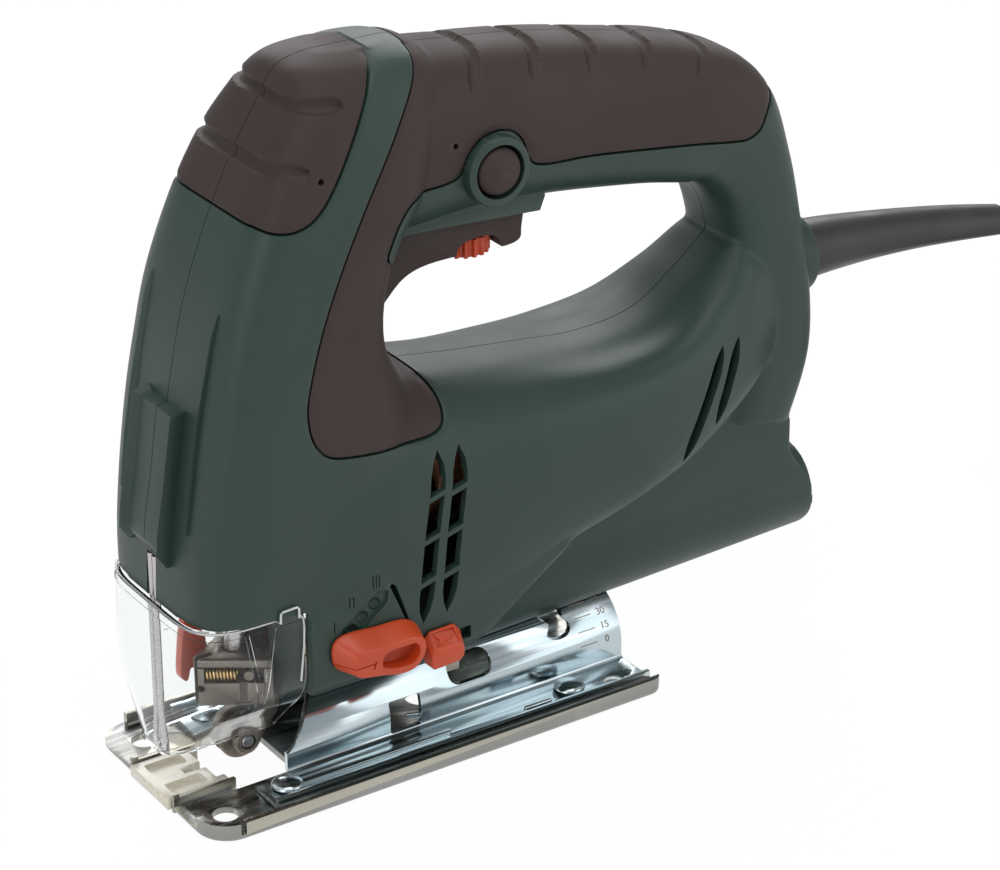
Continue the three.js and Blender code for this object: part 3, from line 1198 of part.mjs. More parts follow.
// ---- controls -----------------------------------------------------------------------------------------
function controls() {
  const outline = shapeOf([
    [triggerFrontX + 0.4, 132.6], [-1.6, 135.8], [3.6, 140.6], [9.6, 142.8], [24, 143.3],
    [triggerBackX - 1.8, 142.8], [triggerBackX, 144.8], [triggerBackX, triggerTopZ],
    [triggerFrontX + 1, triggerTopZ], [triggerFrontX, 150],
  ]);
  const body = softSlabXZ(outline, -triggerHalfWidth, triggerHalfWidth, 1.1, 2);
  const post = box(29, 35, -3, 3, triggerTopZ - 2, switchBottomZ + 4);
  const dialRoom = join(
    hole(dialRadius + runGap, 138, dialTopZ + 0.4, 'z', [dialX, 0, 0], 24),
    box(dialX - 7, dialX + 7, -20, 20, 138, dialTopZ + 0.4),
    rod(2.3, 140, 152, 'z', [dialX, 0, 0], 12),
  );
  piece('trigger', join(body, post).subtract(dialRoom), finishes.grip);
  const knurls = 16;
  const rim = [];
  for (let k = 0; k < knurls; k += 1) {
    for (const [r, part] of [[dialRadius, 0.05], [dialRadius, 0.5], [dialRadius - 0.8, 0.6],
      [dialRadius - 0.8, 0.95]]) {
      const angle = (2 * Math.PI * (k + part)) / knurls;
      rim.push([dialX + r * Math.cos(angle), r * Math.sin(angle)]);
    }
  }
  piece('speed_dial', join(slabXY(shapeOf(rim), dialBottomZ, dialTopZ),
    rod(2, dialTopZ - 0.4, dialTopZ + 5.2, 'z', [dialX, 0, 0], 12)),
    finishes.red);
  const y = lockFaceY;
  const button = [
    [0, -13.4], [lockRadius, -13.4], [lockRadius, y + 0.4], [lockRadius - 0.9, y - 1.2],
    [lockRadius * 0.55, y - 2.3], [0, y - 2.7],
  ];
  piece('lock_button', turned(button, 'y', [lockX, 0, lockZ], 24), finishes.grip);
  const socket = box(28.6, 35.4, -3.4, 3.4, switchBottomZ - 1, switchBottomZ + 11);
  const shape = softSlabXZ(roundedShape(switchFrontX, switchBackX, switchBottomZ, switchTopZ, 2, 2),
    -switchHalfWidth, switchHalfWidth, 0.6, 1);
  piece('switch_body', shape.subtract(socket), finishes.black);
}

// ---- cord -----------------------------------------------------------------------------------------------
// Along the sleeve: x, drop as a share, radius.
const reliefRows = [
  [reliefRootX, 0, reliefRadius + reliefCollar], [reliefRootX + reliefCollarWidth, 0,
    reliefRadius + reliefCollar],
  [reliefRootX + reliefCollarWidth + 0.01, 0, reliefRadius], [147, 0, reliefRadius], [160, 0.04, 8.5],
  [175, 0.16, 7.5], [192, 0.36, 6.6], [210, 0.64, 5.8], [reliefTipX, 1, reliefTipRadius],
];

function strainRelief() {
  const around = 16;
  const rings = reliefRows.map(([x, drop, radius]) => {
    const ring = [];
    for (let k = 0; k < around; k += 1) {
      const angle = (2 * Math.PI * k) / around;
      ring.push(new THREE.Vector3(x, radius * Math.cos(angle),
        cordExitZ - drop * reliefDrop + radius * Math.sin(angle)));
    }
    return ring;
  });
  piece('strain_relief', loft(rings), finishes.grip);
}

// The free cord from the sleeve's tip down onto the top of the coil.
const cordRoute = [
  [230.2, 0, 103.2], [236, 0, 101.6], [243, 0, 98.2], [249.5, 0.1, 92.6], [254.4, 0.6, 84.6],
  [257.5, 1.9, 75], [260.2, 3.3, 64.6], [263.2, 5, 54], [266.9, 7.1, 44.2], [271.6, 9.8, 35.8],
  [277.4, 13.1, 29.6], [283, 16.2, 26.4], [288.3, 19.2, 25.5],
];

function cord() {
  const r = cordDiameter / 2;
  const path = new THREE.CatmullRomCurve3(cordRoute.map((p) => new THREE.Vector3(...p)), false,
    'centripetal');
  const ring = new THREE.Shape();
  ring.absarc(0, 0, r, 0, 2 * Math.PI);
  const section = new THREE.Shape(ring.getPoints(5).slice(0, -1));
  piece('cord', toSolid(new THREE.ExtrudeGeometry(section,
    { steps: 16, extrudePath: path, bevelEnabled: false })), finishes.black);
  const half = (coilLayers * cordDiameter) / 2;
  piece('cord_coil', tube(coilMeanRadius - half, coilMeanRadius + half, 0, 2 * half, 'z', [coilX, coilY, 0],
    28), finishes.black);
  plug();
}

// Flat contour plug with two round pins, lying on the coil along its inner turn.
function plug() {
  const y = coilY + coilMeanRadius - cordDiameter;
  const z = coilLayers * cordDiameter + plugRest + plugHalfHeight;
  const rows = [[0, 4.4, 4.4], [10, 5.4, 5.2], [20, 7, 6.4], [24, 15, 8.6], [27, 18.4, plugHalfHeight],
    [44, 18.4, plugHalfHeight], [46, 17.4, 8.4]];
  const rings = rows.map(([along, halfY, halfZ]) => {
    const ring = [];
    for (let k = 0; k < 16; k += 1) {
      const angle = (2 * Math.PI * k) / 16;
      ring.push(new THREE.Vector3(coilX + along, y + halfY * power(Math.cos(angle), 0.8),
        z + halfZ * power(Math.sin(angle), 0.8)));
    }
    return ring;
  });
  const pin = (dy) => rod(2.4, coilX + 45, coilX + 65, 'x', [0, y + dy, z], 10);
  piece('plug', join(loft(rings), pin(-9.5), pin(9.5)), finishes.black);
}

housings();
housingScrews();
gearCase();
motor();
driveGear();
bladeDrive();
bladeClamp();
releaseLever();
guideRoller();
orbitLever();
blowerSlider();
guardWire();
clearCover();
basePlate();
bevelBracket();
baseClamp();
splinterInsert();
controls();
strainRelief();
cord();

export default group;
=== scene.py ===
"""Corded jigsaw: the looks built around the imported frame.

Shapes are drawn in millimetres, which MM turns into metres. Lamps and the grain of materials are in metres.
"""
import json
import math

import bmesh
import bpy
import numpy as np
from mathutils import Matrix, Vector


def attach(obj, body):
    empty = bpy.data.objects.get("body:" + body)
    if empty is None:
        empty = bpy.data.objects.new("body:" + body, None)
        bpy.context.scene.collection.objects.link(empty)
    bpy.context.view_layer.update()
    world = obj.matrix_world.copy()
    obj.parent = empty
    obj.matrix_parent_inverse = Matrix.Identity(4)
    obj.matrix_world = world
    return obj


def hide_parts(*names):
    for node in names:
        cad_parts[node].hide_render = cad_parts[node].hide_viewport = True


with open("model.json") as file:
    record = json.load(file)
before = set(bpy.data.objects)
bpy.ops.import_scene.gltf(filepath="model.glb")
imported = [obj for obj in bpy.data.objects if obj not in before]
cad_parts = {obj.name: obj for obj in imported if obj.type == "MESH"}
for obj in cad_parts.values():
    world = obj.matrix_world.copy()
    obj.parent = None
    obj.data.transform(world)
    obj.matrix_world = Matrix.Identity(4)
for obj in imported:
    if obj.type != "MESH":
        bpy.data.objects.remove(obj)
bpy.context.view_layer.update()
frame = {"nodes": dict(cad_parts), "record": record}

MM = 0.001
NODES = frame["nodes"]


def new_object(name, data):
    """An object with this data, linked into the scene."""
    piece = bpy.data.objects.new(name, data)
    bpy.context.scene.collection.objects.link(piece)
    return piece


def add_node(nodes, kind, **values):
    """A shader node with its input values; an underscore stands for the space in a socket's name."""
    node = nodes.new(kind)
    for socket, value in values.items():
        node.inputs[socket.replace("_", " ")].default_value = value
    return node


# ---- camera, backdrop and light ----
CAMERA_AZIMUTH = math.radians(-33.93)
CAMERA_ELEVATION = math.radians(26.20)
CAMERA_TARGET = Vector((41.4582, 0, 79.7054)) * MM
CAMERA_DISTANCE = 953.53 * MM
CAMERA_LENS = 119.46
WHITE = (1, 1, 1, 1)


def make_camera():
    """The photograph's viewpoint: a long lens, looking down at the nose and the left side."""
    data = bpy.data.cameras.new("camera")
    data.lens, data.sensor_width = CAMERA_LENS, 36
    data.clip_start, data.clip_end = 0.05, 20
    camera = new_object("camera", data)
    flat = math.cos(CAMERA_ELEVATION)
    back = Vector((math.sin(CAMERA_AZIMUTH) * flat, -math.cos(CAMERA_AZIMUTH) * flat,
                   math.sin(CAMERA_ELEVATION)))
    camera.location = CAMERA_TARGET + back * CAMERA_DISTANCE
    camera.rotation_mode = "QUATERNION"
    camera.rotation_quaternion = back.to_track_quat("Z", "Y")
    bpy.context.scene.camera = camera


def seen_directly(nodes, links):
    """A socket that is 1 for camera, glossy and transmission rays."""
    path = nodes.new("ShaderNodeLightPath")
    first = nodes.new("ShaderNodeMath")
    first.operation = "MAXIMUM"
    second = nodes.new("ShaderNodeMath")
    second.operation = "MAXIMUM"
    links.new(path.outputs["Is Camera Ray"], first.inputs[0])
    links.new(path.outputs["Is Transmission Ray"], first.inputs[1])
    links.new(first.outputs[0], second.inputs[0])
    links.new(path.outputs["Is Glossy Ray"], second.inputs[1])
    return first.outputs[0], second.outputs[0]


def make_world(ambient=0.5, backdrop=1.0, reflected=0.5):
    world = bpy.data.worlds.new("studio")
    bpy.context.scene.world = world
    world.use_nodes = True
    nodes, links = world.node_tree.nodes, world.node_tree.links
    nodes.clear()
    out = nodes.new("ShaderNodeOutputWorld")
    ground = add_node(nodes, "ShaderNodeBackground", Color=WHITE, Strength=ambient)
    mirror = add_node(nodes, "ShaderNodeBackground", Color=(0.95, 0.97, 1, 1), Strength=reflected)
    white = add_node(nodes, "ShaderNodeBackground", Color=WHITE, Strength=backdrop)
    through, any_direct = seen_directly(nodes, links)
    first = nodes.new("ShaderNodeMixShader")
    second = nodes.new("ShaderNodeMixShader")
    links.new(any_direct, first.inputs[0])
    links.new(ground.outputs[0], first.inputs[1])
    links.new(mirror.outputs[0], first.inputs[2])
    links.new(through, second.inputs[0])
    links.new(first.outputs[0], second.inputs[1])
    links.new(white.outputs[0], second.inputs[2])
    links.new(second.outputs[0], out.inputs["Surface"])


def make_floor():
    """A pale floor that takes the contact shadow and melts into the white backdrop."""
    bm = bmesh.new()
    bmesh.ops.create_circle(bm, cap_ends=True, segments=64, radius=3)
    mesh = bpy.data.meshes.new("floor")
    bm.to_mesh(mesh)
    bm.free()
    floor = new_object("floor", mesh)
    floor.location = (0, 0, -0.0003)
    material = bpy.data.materials.new("floor_white")
    material.use_nodes = True
    nodes, links = material.node_tree.nodes, material.node_tree.links
    nodes.clear()
    out = nodes.new("ShaderNodeOutputMaterial")
    matt = add_node(nodes, "ShaderNodeBsdfDiffuse", Color=(0.8, 0.8, 0.8, 1))
    glow = add_node(nodes, "ShaderNodeEmission", Color=WHITE, Strength=1.02)
    through, any_direct = seen_directly(nodes, links)
    strength = nodes.new("ShaderNodeMath")
    strength.operation = "MULTIPLY"
    strength.inputs[1].default_value = 0.94
    links.new(any_direct, strength.inputs[0])
    mix = nodes.new("ShaderNodeMixShader")
    links.new(strength.outputs[0], mix.inputs[0])
    links.new(matt.outputs[0], mix.inputs[1])
    links.new(glow.outputs[0], mix.inputs[2])
    links.new(mix.outputs[0], out.inputs["Surface"])
    mesh.materials.append(material)


def add_lamp(name, place, aim, size, watts, colour=(1, 1, 1)):
    data = bpy.data.lights.new(name, "AREA")
    data.shape, data.size, data.size_y = "RECTANGLE", size[0], size[1]
    data.energy, data.color = watts, colour
    lamp = new_object(name, data)
    lamp.location = place
    lamp.rotation_mode = "QUATERNION"
    lamp.rotation_quaternion = (Vector(place) - Vector(aim)).to_track_quat("Z", "Y")


def light_studio():
    aim = (0.04, 0, 0.1)
    add_lamp("key_above", (-0.1, -0.2, 1.3), aim, (1.0, 0.8), 5.5)
    add_lamp("left_front", (-1.15, -0.55, 0.55), aim, (0.8, 1.1), 4.2)
    add_lamp("right_side", (0.95, -1.05, 0.6), aim, (0.8, 1.2), 4.2)
    add_lamp("behind", (0.75, 1.15, 0.85), aim, (1.5, 0.7), 11)


# ---- materials ----
class Finish:
    """A material under construction: a principled shader and helpers for its procedural detail."""

    def __init__(self, name, colour, roughness, metallic=0.0):
        self.material = bpy.data.materials.new(name)
        self.material.use_nodes = True
        self.tree = self.material.node_tree
        self.nodes, self.links = self.tree.nodes, self.tree.links
        self.shader = self.nodes["Principled BSDF"]
        self.set("Base Color", (*colour, 1))
        self.set("Roughness", roughness)
        self.set("Metallic", metallic)
        self.colour, self.roughness = colour, roughness
        self.place = self.nodes.new("ShaderNodeTexCoord").outputs["Object"]
        self.height = None

    def set(self, socket, value):
        self.shader.inputs[socket].default_value = value

    def noise(self, scale, detail=3.0, stretch=(1, 1, 1), rough=0.5):
        source = self.place
        if stretch != (1, 1, 1):
            mapping = add_node(self.nodes, "ShaderNodeMapping", Scale=stretch)
            self.links.new(source, mapping.inputs["Vector"])
            source = mapping.outputs["Vector"]
        noise = add_node(self.nodes, "ShaderNodeTexNoise", Scale=scale, Detail=detail, Roughness=rough)
        self.links.new(source, noise.inputs["Vector"])
        return noise.outputs["Fac"]

    def cells(self, scale):
        cells = add_node(self.nodes, "ShaderNodeTexVoronoi", Scale=scale)
        cells.feature = "SMOOTH_F1"
        self.links.new(self.place, cells.inputs["Vector"])
        return cells.outputs["Distance"]

    def spread(self, source, low, high, out_low, out_high):
        ramp = add_node(self.nodes, "ShaderNodeMapRange", From_Min=low, From_Max=high, To_Min=out_low,
                        To_Max=out_high)
        self.links.new(source, ramp.inputs["Value"])
        return ramp.outputs["Result"]

    def vary_roughness(self, source, low, high, by):
        value = self.spread(source, low, high, self.roughness - by, self.roughness + by)
        self.links.new(value, self.shader.inputs["Roughness"])

    def vary_colour(self, source, low, high, other, amount=1.0):
        factor = self.spread(source, low, high, 0, amount)
        mix = self.nodes.new("ShaderNodeMix")
        mix.data_type = "RGBA"
        previous = self.shader.inputs["Base Color"]
        if previous.is_linked:
            self.links.new(previous.links[0].from_socket, mix.inputs["A"])
        else:
            mix.inputs["A"].default_value = previous.default_value
        mix.inputs["B"].default_value = (*other, 1)
        self.links.new(factor, mix.inputs["Factor"])
        self.links.new(mix.outputs["Result"], self.shader.inputs["Base Color"])

    def bump(self, source, distance, strength=1.0):
        bump = add_node(self.nodes, "ShaderNodeBump", Distance=distance, Strength=strength)
        self.links.new(source, bump.inputs["Height"])
        if self.height is not None:
            self.links.new(self.height, bump.inputs["Normal"])
        self.height = bump.outputs["Normal"]
        self.links.new(self.height, self.shader.inputs["Normal"])

    def edges(self, colour, amount, low=0.52, high=0.6):
        """Paler colour along convex edges: a painted highlight where rounded edges catch the light."""
        geometry = self.nodes.new("ShaderNodeNewGeometry")
        self.vary_colour(geometry.outputs["Pointiness"], low, high, colour, amount)


def shell_green():
    """Spark-eroded texture on moulded glass-filled nylon."""
    f = Finish("shell_green", (0.019, 0.041, 0.032), 0.45)
    f.vary_colour(f.noise(9, 4), 0.35, 0.7, (0.027, 0.053, 0.042), 0.7)
    f.vary_roughness(f.noise(26, 3), 0.35, 0.65, 0.05)
    f.bump(f.noise(2600, 2, rough=0.6), 0.00008, 0.55)
    f.bump(f.cells(1500), 0.00006, 0.35)
    # pale convex edges: painted highlight
    f.edges((0.07, 0.10, 0.09), 0.3)
    f.set("Specular IOR Level", 0.4)
    return f.material


def soft_brown():
    """Matt thermoplastic rubber with a faint bloom."""
    f = Finish("soft_brown", (0.040, 0.027, 0.025), 0.58)
    f.vary_colour(f.noise(14, 4), 0.35, 0.7, (0.048, 0.033, 0.030), 0.6)
    f.vary_roughness(f.noise(40, 3), 0.35, 0.65, 0.06)
    f.bump(f.noise(3400, 2, rough=0.7), 0.00006, 0.5)
    f.set("Specular IOR Level", 0.28)
    # pale convex edges: painted highlight
    f.edges((0.10, 0.08, 0.075), 0.2)
    return f.material


def control_red():
    f = Finish("control_red", (0.52, 0.058, 0.013), 0.36)
    f.vary_colour(f.noise(60, 3), 0.4, 0.7, (0.42, 0.045, 0.011), 0.4)
    f.vary_roughness(f.noise(120, 3), 0.3, 0.7, 0.06)
    f.bump(f.noise(1800, 2), 0.00004, 0.4)
    f.set("Subsurface Weight", 0.05)
    f.set("Subsurface Radius", (0.004, 0.001, 0.0005))
    return f.material


def turned_steel(name="steel", colour=(0.52, 0.49, 0.49), roughness=0.26):
    f = Finish(name, colour, roughness, 1.0)
    f.vary_roughness(f.noise(400, 3, (1, 1, 6)), 0.3, 0.7, 0.08)
    f.bump(f.noise(900, 2, (1, 1, 8)), 0.00003, 0.4)
    f.vary_colour(f.noise(50, 4), 0.4, 0.75, (0.42, 0.42, 0.43), 0.5)
    return f.material


def base_steel():
    """Pressed sheet with a grey-brown passivated finish and drawing marks along its length."""
    f = Finish("base_steel", (0.27, 0.28, 0.28), 0.3, 1.0)
    f.vary_colour(f.noise(16, 5, (1, 2.5, 1)), 0.35, 0.7, (0.20, 0.19, 0.17), 0.8)
    f.vary_colour(f.noise(120, 5), 0.55, 0.75, (0.36, 0.35, 0.31), 0.5)
    f.vary_roughness(f.noise(300, 4, (0.15, 3, 1)), 0.3, 0.7, 0.12)
    f.bump(f.noise(500, 3, (0.1, 3, 1)), 0.00003, 0.35)
    # pale convex edges: painted highlight
    f.edges((0.62, 0.58, 0.45), 0.5, 0.52, 0.6)
    return f.material


def zinc_steel():
    """Bright bluish zinc plate, slightly cloudy."""
    f = Finish("zinc_steel", (0.52, 0.60, 0.63), 0.2, 1.0)
    f.vary_colour(f.noise(22, 5, (0.5, 2, 1)), 0.4, 0.75, (0.34, 0.43, 0.47), 0.7)
    f.vary_colour(f.noise(60, 5), 0.6, 0.8, (0.66, 0.66, 0.60), 0.35)
    f.vary_roughness(f.noise(140, 4, (0.25, 2, 1)), 0.3, 0.75, 0.09)
    f.bump(f.noise(400, 3, (0.12, 3, 1)), 0.00003, 0.3)
    # pale convex edges: painted highlight
    f.edges((0.80, 0.84, 0.85), 0.4, 0.52, 0.6)
    return f.material


def dark_steel():
    f = Finish("dark_steel", (0.075, 0.062, 0.055), 0.42, 0.7)
    f.vary_colour(f.noise(90, 4), 0.4, 0.7, (0.14, 0.115, 0.095), 0.6)
    f.vary_roughness(f.noise(200, 3), 0.3, 0.7, 0.1)
    f.bump(f.noise(900, 3), 0.00005, 0.5)
    # pale convex edges: painted highlight
    f.edges((0.42, 0.38, 0.33), 0.7, 0.5, 0.58)
    return f.material


def brass():
    f = Finish("brass", (0.70, 0.50, 0.24), 0.3, 1.0)
    f.vary_colour(f.noise(80, 4), 0.4, 0.7, (0.5, 0.34, 0.16), 0.5)
    f.vary_roughness(f.noise(200, 3), 0.3, 0.7, 0.1)
    f.bump(f.noise(900, 2), 0.00003, 0.4)
    return f.material


def copper():
    f = Finish("copper", (0.36, 0.15, 0.08), 0.4, 1.0)
    f.vary_colour(f.noise(60, 4), 0.4, 0.7, (0.22, 0.09, 0.045), 0.5)
    f.bump(f.noise(1500, 1, (6, 1, 1)), 0.00008, 0.6)
    return f.material


def aluminium():
    f = Finish("aluminium", (0.62, 0.63, 0.64), 0.45, 1.0)
    f.vary_colour(f.noise(70, 4), 0.4, 0.7, (0.5, 0.5, 0.51), 0.5)
    f.bump(f.noise(900, 4), 0.00008, 0.5)
    return f.material


def clear_plastic():
    """Clear polycarbonate, thin walled, with faint flow marks."""
    f = Finish("clear_plastic", (0.96, 0.98, 0.98), 0.035)
    f.set("Transmission Weight", 1.0)
    f.set("IOR", 1.25)
    f.vary_roughness(f.noise(40, 3), 0.4, 0.8, 0.02)
    f.bump(f.noise(60, 2), 0.0002, 0.12)
    return f.material


def cream_plastic():
    """Translucent yellowish nylon."""
    f = Finish("cream_plastic", (0.93, 0.90, 0.80), 0.22)
    f.set("Transmission Weight", 0.3)
    f.vary_colour(f.noise(90, 3), 0.4, 0.7, (0.86, 0.80, 0.62), 0.5)
    f.vary_roughness(f.noise(150, 3), 0.3, 0.7, 0.08)
    f.bump(f.noise(700, 2), 0.00005, 0.4)
    return f.material


def black_plastic():
    f = Finish("black_plastic", (0.022, 0.020, 0.020), 0.42)
    f.vary_colour(f.noise(40, 3), 0.4, 0.7, (0.035, 0.032, 0.031), 0.6)
    f.vary_roughness(f.noise(90, 3), 0.3, 0.7, 0.07)
    f.bump(f.noise(2200, 2), 0.00004, 0.4)
    return f.material


FINISHES = {
    "shell_green": shell_green(), "soft_grip": soft_brown(), "control_red": control_red(),
    "steel": turned_steel(), "base_steel": base_steel(), "zinc_steel": zinc_steel(),
    "dark_steel": dark_steel(),
    "brass": brass(), "copper": copper(), "aluminium": aluminium(), "clear_plastic": clear_plastic(),
    "cream_plastic": cream_plastic(), "black_plastic": black_plastic(),
}


def finish_of(piece, slot):
    piece.data.materials.clear()
    piece.data.materials.append(FINISHES[slot])


def dress_cad_nodes():
    """Every CAD node gets its record slot's material, slightly rounded edges and smooth curved faces."""
    for entry in frame["record"]["subparts"]:
        node = NODES[entry["node"]]
        finish_of(node, entry["material_slot"])
        weld = node.modifiers.new("weld", "WELD")
        weld.merge_threshold = 1e-6
        bevel = node.modifiers.new("round", "BEVEL")
        bevel.width, bevel.segments = 0.25 * MM, 2
        bevel.limit_method, bevel.angle_limit = "ANGLE", math.radians(38)
        split = node.modifiers.new("split", "EDGE_SPLIT")
        split.split_angle = math.radians(38)
        node.data.shade_smooth()


# ---- meshes and cuts ----
def mesh_object(name, corners, faces):
    """A mesh from corners in millimetres."""
    mesh = bpy.data.meshes.new(name)
    mesh.from_pydata([Vector(c) * MM for c in corners], [], faces)
    mesh.update()
    piece = new_object(name, mesh)
    bm = bmesh.new()
    bm.from_mesh(mesh)
    bmesh.ops.remove_doubles(bm, verts=bm.verts, dist=1e-7)
    bmesh.ops.recalc_face_normals(bm, faces=bm.faces)
    bm.to_mesh(mesh)
    bm.free()
    return piece


def loft(name, rings):
    """Rings of equal point counts, joined into one closed skin."""
    count = len(rings[0])
    corners = [tuple(point) for ring in rings for point in ring]
    faces = [tuple(range(count))[::-1], tuple(range(len(corners) - count, len(corners)))]
    for r in range(len(rings) - 1):
        for i in range(count):
            j = (i + 1) % count
            faces.append((r * count + i, r * count + j, (r + 1) * count + j, (r + 1) * count + i))
    return mesh_object(name, corners, faces)


# Where a point of an outline (a, b) at a level c lies when the outline is drawn across an axis.
ACROSS = {"x": lambda a, b, c: (c, a, b), "y": lambda a, b, c: (a, c, b), "z": lambda a, b, c: (a, b, c)}


def full_turn(segments):
    """Angles spread evenly over a full turn."""
    return [2 * math.pi * k / segments for k in range(segments)]


def slab(name, outline, low, high, axis="y"):
    """An outline drawn across an axis, made solid from low to high along it."""
    place = ACROSS[axis]
    return loft(name, [[place(a, b, level) for a, b in outline] for level in (low, high)])


def block(name, x0, x1, y0, y1, z0, z1):
    return slab(name, [(x0, z0), (x1, z0), (x1, z1), (x0, z1)], y0, y1)


def rod(name, radius, low, high, axis, centre, segments=48):
    """A round bar along an axis; centre gives the other two coordinates in the order of slab()'s outline."""
    ring = [(centre[0] + radius * math.cos(t), centre[1] + radius * math.sin(t)) for t in full_turn(segments)]
    return slab(name, ring, low, high, axis)


def settled(piece):
    """Applies the modifiers to the piece's own mesh."""
    depsgraph = bpy.context.evaluated_depsgraph_get()
    mesh = bpy.data.meshes.new_from_object(piece.evaluated_get(depsgraph))
    piece.modifiers.clear()
    old = piece.data
    piece.data = mesh
    bpy.data.meshes.remove(old)
    return piece


def combine(piece, tool, operation, keep=False):
    modifier = piece.modifiers.new("cut", "BOOLEAN")
    modifier.operation, modifier.solver, modifier.object = operation, "MANIFOLD", tool
    settled(piece)
    if not keep:
        bpy.data.objects.remove(tool)
    return piece


def unite(first, *others):
    for other in others:
        combine(first, other, "UNION")
    return first


def cut(piece, *tools):
    for tool in tools:
        combine(piece, tool, "DIFFERENCE")
    return piece


def copy_of(piece, name):
    twin = piece.copy()
    twin.data = piece.data.copy()
    twin.name = name
    bpy.context.scene.collection.objects.link(twin)
    return twin


def shade(piece, degrees=32):
    piece.data.shade_smooth()
    piece.data.set_sharp_from_angle(angle=math.radians(degrees))
    return piece


# ---- the body's form ----
# Nose: level z, front x, x of the widest place, back x, half width, squareness in front and behind.
NOSE_LEVELS = [
    [61.5, -73, -38, 8, 30.5, 4.8, 3], [76, -72.2, -37, 8, 30.8, 5.2, 3], [98, -69, -34, 6, 31, 6, 3],
    [116, -66, -32, 0, 30.8, 6.2, 2.6], [130, -63.2, -30, -8, 30.3, 6.2, 3.4], [144, -60, -27, -9, 29.6,
                                                                                6.4, 3.8],
    [157, -55.8, -22, -4, 28.8, 6.4, 3.4], [172, -49.6, -17, 9, 27.6, 6.2, 2.8], [186, -42.6, -12, 12, 25.8,
                                                                                  5.4, 2.8],
    [196, -36.4, -8, 14, 23, 4.6, 2.8], [203, -32, -6, 13, 19.4, 4, 2.6], [207, -28, -6, 10, 14.6, 3.4, 2.5],
    [208.8, -20, -7, 4, 7, 2.8, 2.4],
]
# Handle and rear column: centre x and z, half height across the path, half width, squareness.
HANDLE_PATH = [
    [-24, 176, 20, 20, 2.6], [0, 179.8, 25, 21.5, 2.7], [24, 179.7, 23.8, 20.5, 2.7], [48, 177.6, 22.9,
                                                                                       19.6, 2.7],
    [72, 173.8, 22, 19.2, 2.7], [94, 169.6, 21.2, 18.8, 2.9], [111, 163, 19.6, 18, 3.2], [122, 147, 14.4,
                                                                                          17.4, 3.2],
    [127.8, 127, 13.6, 17, 3], [131, 107, 14.8, 17, 3], [130.6, 87, 15.8, 17.4, 3], [126.6, 66, 13.6, 16, 3],
]
# Motor body: x, underside z, ledge z, height of the widest place, crease z, top z, half widths at the
# ledge, at the widest place and at the crease, half width of the top.
MOTOR_STATIONS = [
    [-46, 46, 48, 72, 92, 105, 28, 30, 29.5, 16], [-24, 42, 45, 72, 93, 113, 30.8, 31.6, 30.8, 16],
    [0, 42, 45, 74, 94, 114, 31.2, 32.2, 31.2, 15], [24, 46, 50.5, 77, 95, 110.8, 31.5, 33, 31.2, 14],
    [46, 51, 57.6, 80, 96.5, 108.2, 31, 32.8, 30.8, 14], [68, 56, 63, 83, 98.5, 106, 30.2, 32, 30, 14],
    [88, 61, 69.4, 87, 101, 108.6, 28.6, 30.5, 28.4, 14], [104, 65, 77.6, 92, 105, 119, 26, 27.6, 25.4, 13],
    [117, 68, 84, 96, 108, 128.4, 22, 23.4, 21.6, 12], [128, 74, 90, 100, 110, 125, 16, 17.2, 16, 9],
]
WALL = 3
GRIP_DEPTH = 2
GRIP_SEAM = 0.75
FOOT_HALF, FOOT_FRONT, FOOT_BACK, FOOT_LOW = 32.5, -41, 14, 34
ARCH_Z, ARCH_RADIUS = 8, 16.5
SPOUT_RADIUS, SPOUT_WALL, SPOUT_END, SPOUT_Z, SPOUT_RISE, SPOUT_WEB = 14, 2.4, 149, 36, 0.034, 12
CORD_Z = 112
LOCK_X, LOCK_Z, LOCK_FACE, LOCK_BOSS, LOCK_RADIUS = 26, 171.8, -23.4, 10, 6.8
TRIGGER_HALF = 9
LEVER_X, LEVER_Z = -14.5, 45
ROLLER_PLACE, FORK_PIN_PLACE, RELEASE_PLACE = (-48.5, 11), (-36.5, 52), (-55, 63.5)
CLAMP_SCREW_PLACE, DIAL_PLACE = (13.5, 0), (28.5, 0)
PARTING_HALF = 0.15
SEAM_DEPTH, SEAM_SPREAD = 0.45, 0.9
GROOVE_DEPTH, GRIP_GROOVE_HALF, PAD_GROOVE_HALF, PAD_GROOVE_FLARE = 1.5, 1.8, 1.2, 0.8
SCREW_PLACES = [(-60, 108), (-36, 152), (-12, 192), (66, 160.5), (121.5, 150), (112, 84)]
VENTS = [  # foot, head, width, windows
    ((-6, 47.6), (1, 98.4), 4.7, 4), ((1.8, 49), (7.9, 98.4), 4.7, 4),
    ((85, 71), (101, 103), 4, 1), ((97.5, 79), (107.7, 103.7), 4, 1),
]
GRIP_OUTLINE = [
    (12, 215), (6.6, 208.4), (3.3, 204.1), (-4.8, 193.4), (-9.4, 186.6), (-18.2, 172.9), (-26,
        158.8), (-32.6, 144.4),
    (-37, 131.6), (-39.4, 120), (-37.6, 111), (-33.4, 106.4), (-27, 104.6), (-2, 102), (4.6, 103.6), (7,
                                                                                                      108.4),
    (6, 113), (0, 122), (-3, 131), (-5, 148), (-12.6, 156.5), (-11, 161.4), (-7.6, 166.9), (-2.9,
        170.4), (9.4, 171),
    (14, 171.9), (17, 174.6), (18.9, 178.2), (22.4, 181.4), (27, 182.7), (32.4, 181.4), (36, 177.8), (38.4,
                                                                                                      172),
    (41.6, 169.6), (60, 168), (79, 165.6), (97, 163.1), (110, 160.9), (114.6, 160.6), (118.5,
                                                                                       162.3), (121.9, 167.4),
    (133, 182), (142, 215),
]
PAD_OUTLINE = [
    (-90, 173), (-49.6, 172.6), (-45, 171.4), (-40.4, 171.2), (-35.8, 172.5), (-32, 175.3), (-28.3, 179.7),
    (-21.4, 190.2), (-14.4, 200.8), (-11, 205.6), (-6.8, 208.6), (-1, 214), (-4, 219), (-90, 219),
]
